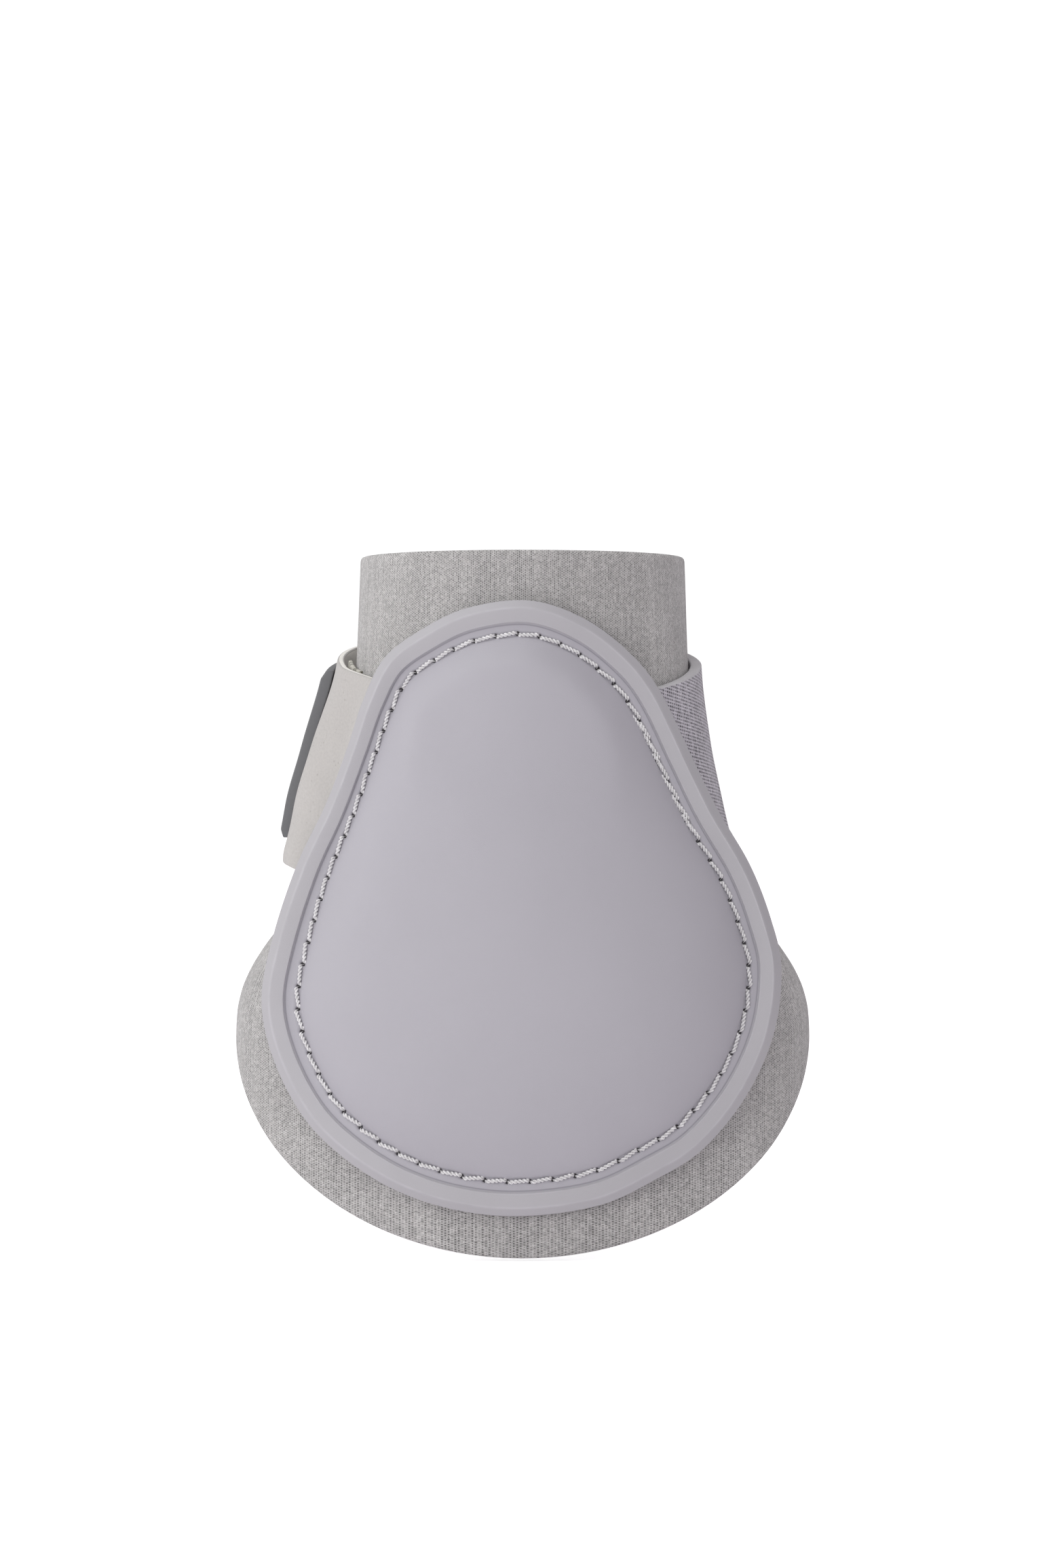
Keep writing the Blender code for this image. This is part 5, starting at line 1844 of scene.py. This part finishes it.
    def make_shell(self) -> None:
        """Moulded shell, its pad and its seam."""
        item = self.shell.build()
        dress(item, Slot.SHELL, self.polyurethane)
        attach(item, "boot")
        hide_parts("outer_shell")
        pad = self.shell.build_pad()
        dress(pad, Slot.FOAM, self.foam)
        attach(pad, "boot")
        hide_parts("impact_pad")
        seam = self.scatter.spread("seam_stitches", self.scatter.stitches,
                                   self.shell.stitch_points(), self.thread, self.shell.thread)
        dress(seam, Slot.TAB)
        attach(seam, "boot")

    def make_wrap(self) -> None:
        """Neoprene and lining, a half of each for each wing."""
        wrap = NeopreneWrap(self.leg)
        names = {Side.TAB: ("left", "left_wing_open", "left_wing"),
                 Side.ELASTIC: ("right", "right_wing_open", "right_wing")}
        outer, inner = self.wrap_lips
        for side, (word, hinge, wing) in names.items():
            layers = (
                ("liner", wrap.half(side, f"neoprene_{word}", 0.0, wrap.thickness, outer),
                 Slot.KNIT, (self.knit, self.sponge), f"lining_{word}"),
                ("lining", wrap.half(side, f"lining_{word}", wrap.thickness + GAP, wrap.lining,
                                     inner),
                 Slot.LINING, (self.lining_knit, self.lining_knit), f"neoprene_{word}"),
            )
            for layer, sheet, slot, materials, neighbour in layers:
                piece = sheet.build()
                dress(piece, slot, *materials)
                sheet.declare(piece, Hold.LAID, [neighbour])
                bend_at(piece, hinge, wing, *self.wing_bend)
                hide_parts(f"{layer}_{wing}")
                if side is Side.TAB:
                    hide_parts(f"{layer}_front")

    def make_elastic(self) -> None:
        """Elastic strap with its loop patch."""
        form = self.elastic_form
        strap = Strap(form, "elastic_webbing",
                      lambda v: (form.root_angle(v), np.full_like(v, self.elastic_tip)),
                      thickness=form.thickness, grid=self.elastic_grid)
        item = self.lay(strap, Slot.ELASTIC, (self.webbing,), ["neoprene_right", "neoprene_left"],
                        Hold.STRETCHED)
        bend_at(item, "elastic_swing", "elastic", *self.strap_bend)
        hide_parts("elastic_root", "elastic_strap")
        patch = self.tape(form, "loop_tape", form.thickness + GAP)
        item = self.lay(patch, Slot.LOOP, (self.nap,), ["elastic_webbing"])
        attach(item, "elastic")
        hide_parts("loop_patch")
        places = patch.tufts(self.loop.per_area, self.loop.seed)
        self.add_fibres("loop_pile", "elastic", Slot.LOOP, self.nap, places, self.loop)
        self.add_box("loop_tape_stitches", patch, "elastic", Slot.LOOP)

    def make_tab(self) -> None:
        """Closure tab with its hook tape and its box of stitches."""
        form = self.tab_form
        strap = Strap(form, "closure_tab_fabric",
                      lambda v: (form.root_angle(v), np.full_like(v, self.tab_tip)),
                      thickness=form.thickness, grid=self.tab_grid, inner_slot=1)
        item = self.lay(strap, Slot.TAB, (self.faced, self.brushed), ["elastic_webbing"])
        bend_at(item, "tab_peel", "tab", *self.strap_bend)
        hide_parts("tab_root", "closure_tab")
        tape = self.tape(form, "hook_tape_base", -GAP - self.tape_base)
        item = self.lay(tape, Slot.HOOK, (self.hooks,), ["closure_tab_fabric"])
        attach(item, "tab")
        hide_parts("hook_tape")
        places = tape.tufts(self.hook.per_area, self.hook.seed, inner=True)
        self.add_fibres("hooks", "tab", Slot.HOOK, self.hooks, places, self.hook)
        face = Strap(form, "tab_face", tape.ends, thickness=form.thickness, band=tape.band)
        self.add_box("tab_stitches", face, "tab", Slot.TAB)

    def make_backing(self) -> None:
        """Napped backing that stands in the gap between the tab and the collar."""
        form = self.tab_form
        turn = form.standoff_turn * self.backing_share
        backing = Strap(form, "napped_backing",
                        lambda v: (-(form.exit_angle(v) + turn), mix(*self.tab_hinge, v)),
                        lift=-self.backing_clearance - self.backing_thickness,
                        thickness=self.backing_thickness, grid=self.backing_grid,
                        lip=self.backing_lip)
        item = self.lay(backing, Slot.LOOP, (self.nap,), ["closure_tab_fabric"])
        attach(item, "boot")
        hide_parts("tab_backing")
        for word, inner, seed in zip(("outer", "inner"), (False, True), self.hair_seeds):
            places = backing.tufts(self.hair.per_area, seed, inner)
            self.add_fibres(f"backing_nap_{word}", "boot", Slot.LOOP, self.nap, places, self.hair)

    def badge_relief(self, u: Array, v: Array) -> Array:
        """How far the plate lies below its border: a sunk field, and falling ends."""
        border_u, border_v = self.badge_border
        start, span = self.badge_border_edge
        near_u, near_v = np.minimum(u, 1.0 - u), np.minimum(v, 1.0 - v)
        edge = np.minimum(near_u / border_u, near_v / border_v)
        ends = np.clip(1.0 - near_v / self.badge_end_share, 0.0, 1.0)
        return self.badge_field_depth * ease((edge - start) / span) + self.badge_end_depth * ends

    def make_badge(self) -> None:
        """Plain rubber plate with cut edges, a raised border and a bare field."""
        form = self.tab_form
        plate = Strap(form, "badge_rubber_plate",
                      lambda v: (np.full_like(v, self.badge_end),
                                 mix(*self.tab_hinge, v) - self.badge_margin),
                      lift=form.thickness + GAP, thickness=self.badge_thickness,
                      band=self.badge_band, grid=self.badge_grid, relief=self.badge_relief)
        item = plate.sheet().build()
        dress(item, Slot.BADGE, self.rubber, self.rubber)
        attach(item, "tab")
        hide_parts("badge_plate")

    def build(self) -> None:
        """Make every piece in order."""
        self.make_shell()
        self.make_wrap()
        self.make_elastic()
        self.make_tab()
        self.make_backing()
        self.make_badge()


@dataclass(frozen=True)
class Studio:
    """Camera at the photograph's angle, a pale floor and soft light."""

    distance: float = 1.0
    eye_height: float = 0.0997
    photo_rows: int = 2311
    metres_per_row: float = 0.000151
    sensor_mm: float = 36.0
    floor_radius: float = 8.0
    floor_sides: int = 64
    floor_roughness: float = 0.9
    floor_drop: float = 0.0006
    floor_patches: Patches = Patches(3.0, 2.0, 0.3, 0.7, 0.99, 1.0)
    world_left: float = 0.60
    world_right: float = 0.44
    world_tint: Colour = (1.0, 0.94, 1.0)
    tint_start: float = -0.2
    backdrop: float = 1.05
    floor_glow: float = 0.75
    floor_bounce: float = 0.082
    floor_tint: Colour = (0.95, 0.92, 0.95)
    aim_height: float = 0.08
    lights: tuple[tuple[str, tuple[float, float, float], float, float], ...] = (
        ("front_left", (-0.70, -1.15, 0.40), 1.0, 1.75),
        ("low_left", (-0.80, -1.10, 0.05), 0.8, 2.9),
        ("left_edge", (-1.05, 0.10, 0.22), 0.8, 1.8),
        ("front", (0.15, -1.40, 0.25), 1.2, 1.55),
        ("top", (-0.20, -0.40, 1.30), 1.0, 3.5),
        ("upper_left", (-0.85, 0.05, 0.95), 0.8, 1.5),
    )

    def camera(self) -> None:
        """Level camera in front of the shell."""
        data = bpy.data.cameras.new("camera")
        data.sensor_width = self.sensor_mm
        data.lens = self.sensor_mm * self.distance / (self.photo_rows * self.metres_per_row)
        item = linked("camera", data)
        item.location = (0.0, -self.distance, self.eye_height)
        item.rotation_euler = (math.radians(90), 0.0, 0.0)
        bpy.context.scene.camera = item

    def light(self, name: str, place: tuple[float, float, float], size: float,
              power: float) -> None:
        """Square soft light aimed at the boot."""
        data = bpy.data.lights.new(name, "AREA")
        data.energy = power
        data.size = size
        item = linked(name, data)
        item.location = place
        aim = Vector((0.0, 0.0, self.aim_height)) - Vector(place)
        item.rotation_euler = aim.to_track_quat("-Z", "Y").to_euler()

    def floor(self) -> None:
        """Large pale floor just under the hem."""
        mesh = bpy.data.meshes.new("floor")
        build = bmesh.new()
        bmesh.ops.create_circle(build, cap_ends=True, segments=self.floor_sides,
                                radius=self.floor_radius)
        build.to_mesh(mesh)
        build.free()
        mesh.transform(Matrix.Translation((0.0, 0.0, -self.floor_drop)))
        n = Surface("floor_paper", None, self.floor_roughness, space="Object")
        n.feed(n.inputs["Base Color"], n.blend(1.0, n.grey(self.floor_patches.mask(n)),
                                               rgba(self.floor_tint), "MULTIPLY"))
        n.feed(n.inputs["Emission Color"], rgba((1.0, 1.0, 1.0)))
        seen = n.add("ShaderNodeLightPath").outputs["Is Camera Ray"]
        n.feed(n.inputs["Emission Strength"], n.math(
            "MULTIPLY_ADD", seen, self.floor_glow - self.floor_bounce, self.floor_bounce))
        mesh.materials.append(n.material)
        linked("floor", mesh)

    def world(self) -> None:
        """White surroundings that light the boot more from the left than from the right."""
        world = bpy.data.worlds.new("studio")
        world.use_nodes = True
        n = Nodes(world.node_tree)
        back = world.node_tree.nodes["Background"].inputs
        way = n.axis(n.place("Generated"), 0)
        light = n.ramp(way, -1.0, 1.0, self.world_left, self.world_right)
        seen = n.add("ShaderNodeLightPath").outputs["Is Camera Ray"]
        unseen = n.math("SUBTRACT", 1.0, seen)
        strength = n.math("ADD", n.math("MULTIPLY", seen, self.backdrop),
                          n.math("MULTIPLY", unseen, light))
        share = n.math("MULTIPLY", n.ramp(way, self.tint_start, 1.0), unseen)
        n.feed(back["Color"], n.blend(share, rgba((1.0, 1.0, 1.0)), rgba(self.world_tint)))
        n.feed(back["Strength"], strength)
        bpy.context.scene.world = world

    def build(self) -> None:
        """Set up the studio."""
        self.camera()
        self.floor()
        self.world()
        for light in self.lights:
            self.light(*light)
        bpy.context.scene.view_settings.view_transform = "Standard"


def main() -> None:
    """Build the studio and the boot, and write both sizes."""
    logging.basicConfig(level=logging.INFO, format="%(message)s")
    Studio().build()
    Boot().build()


if __name__ == "__main__":
    main()
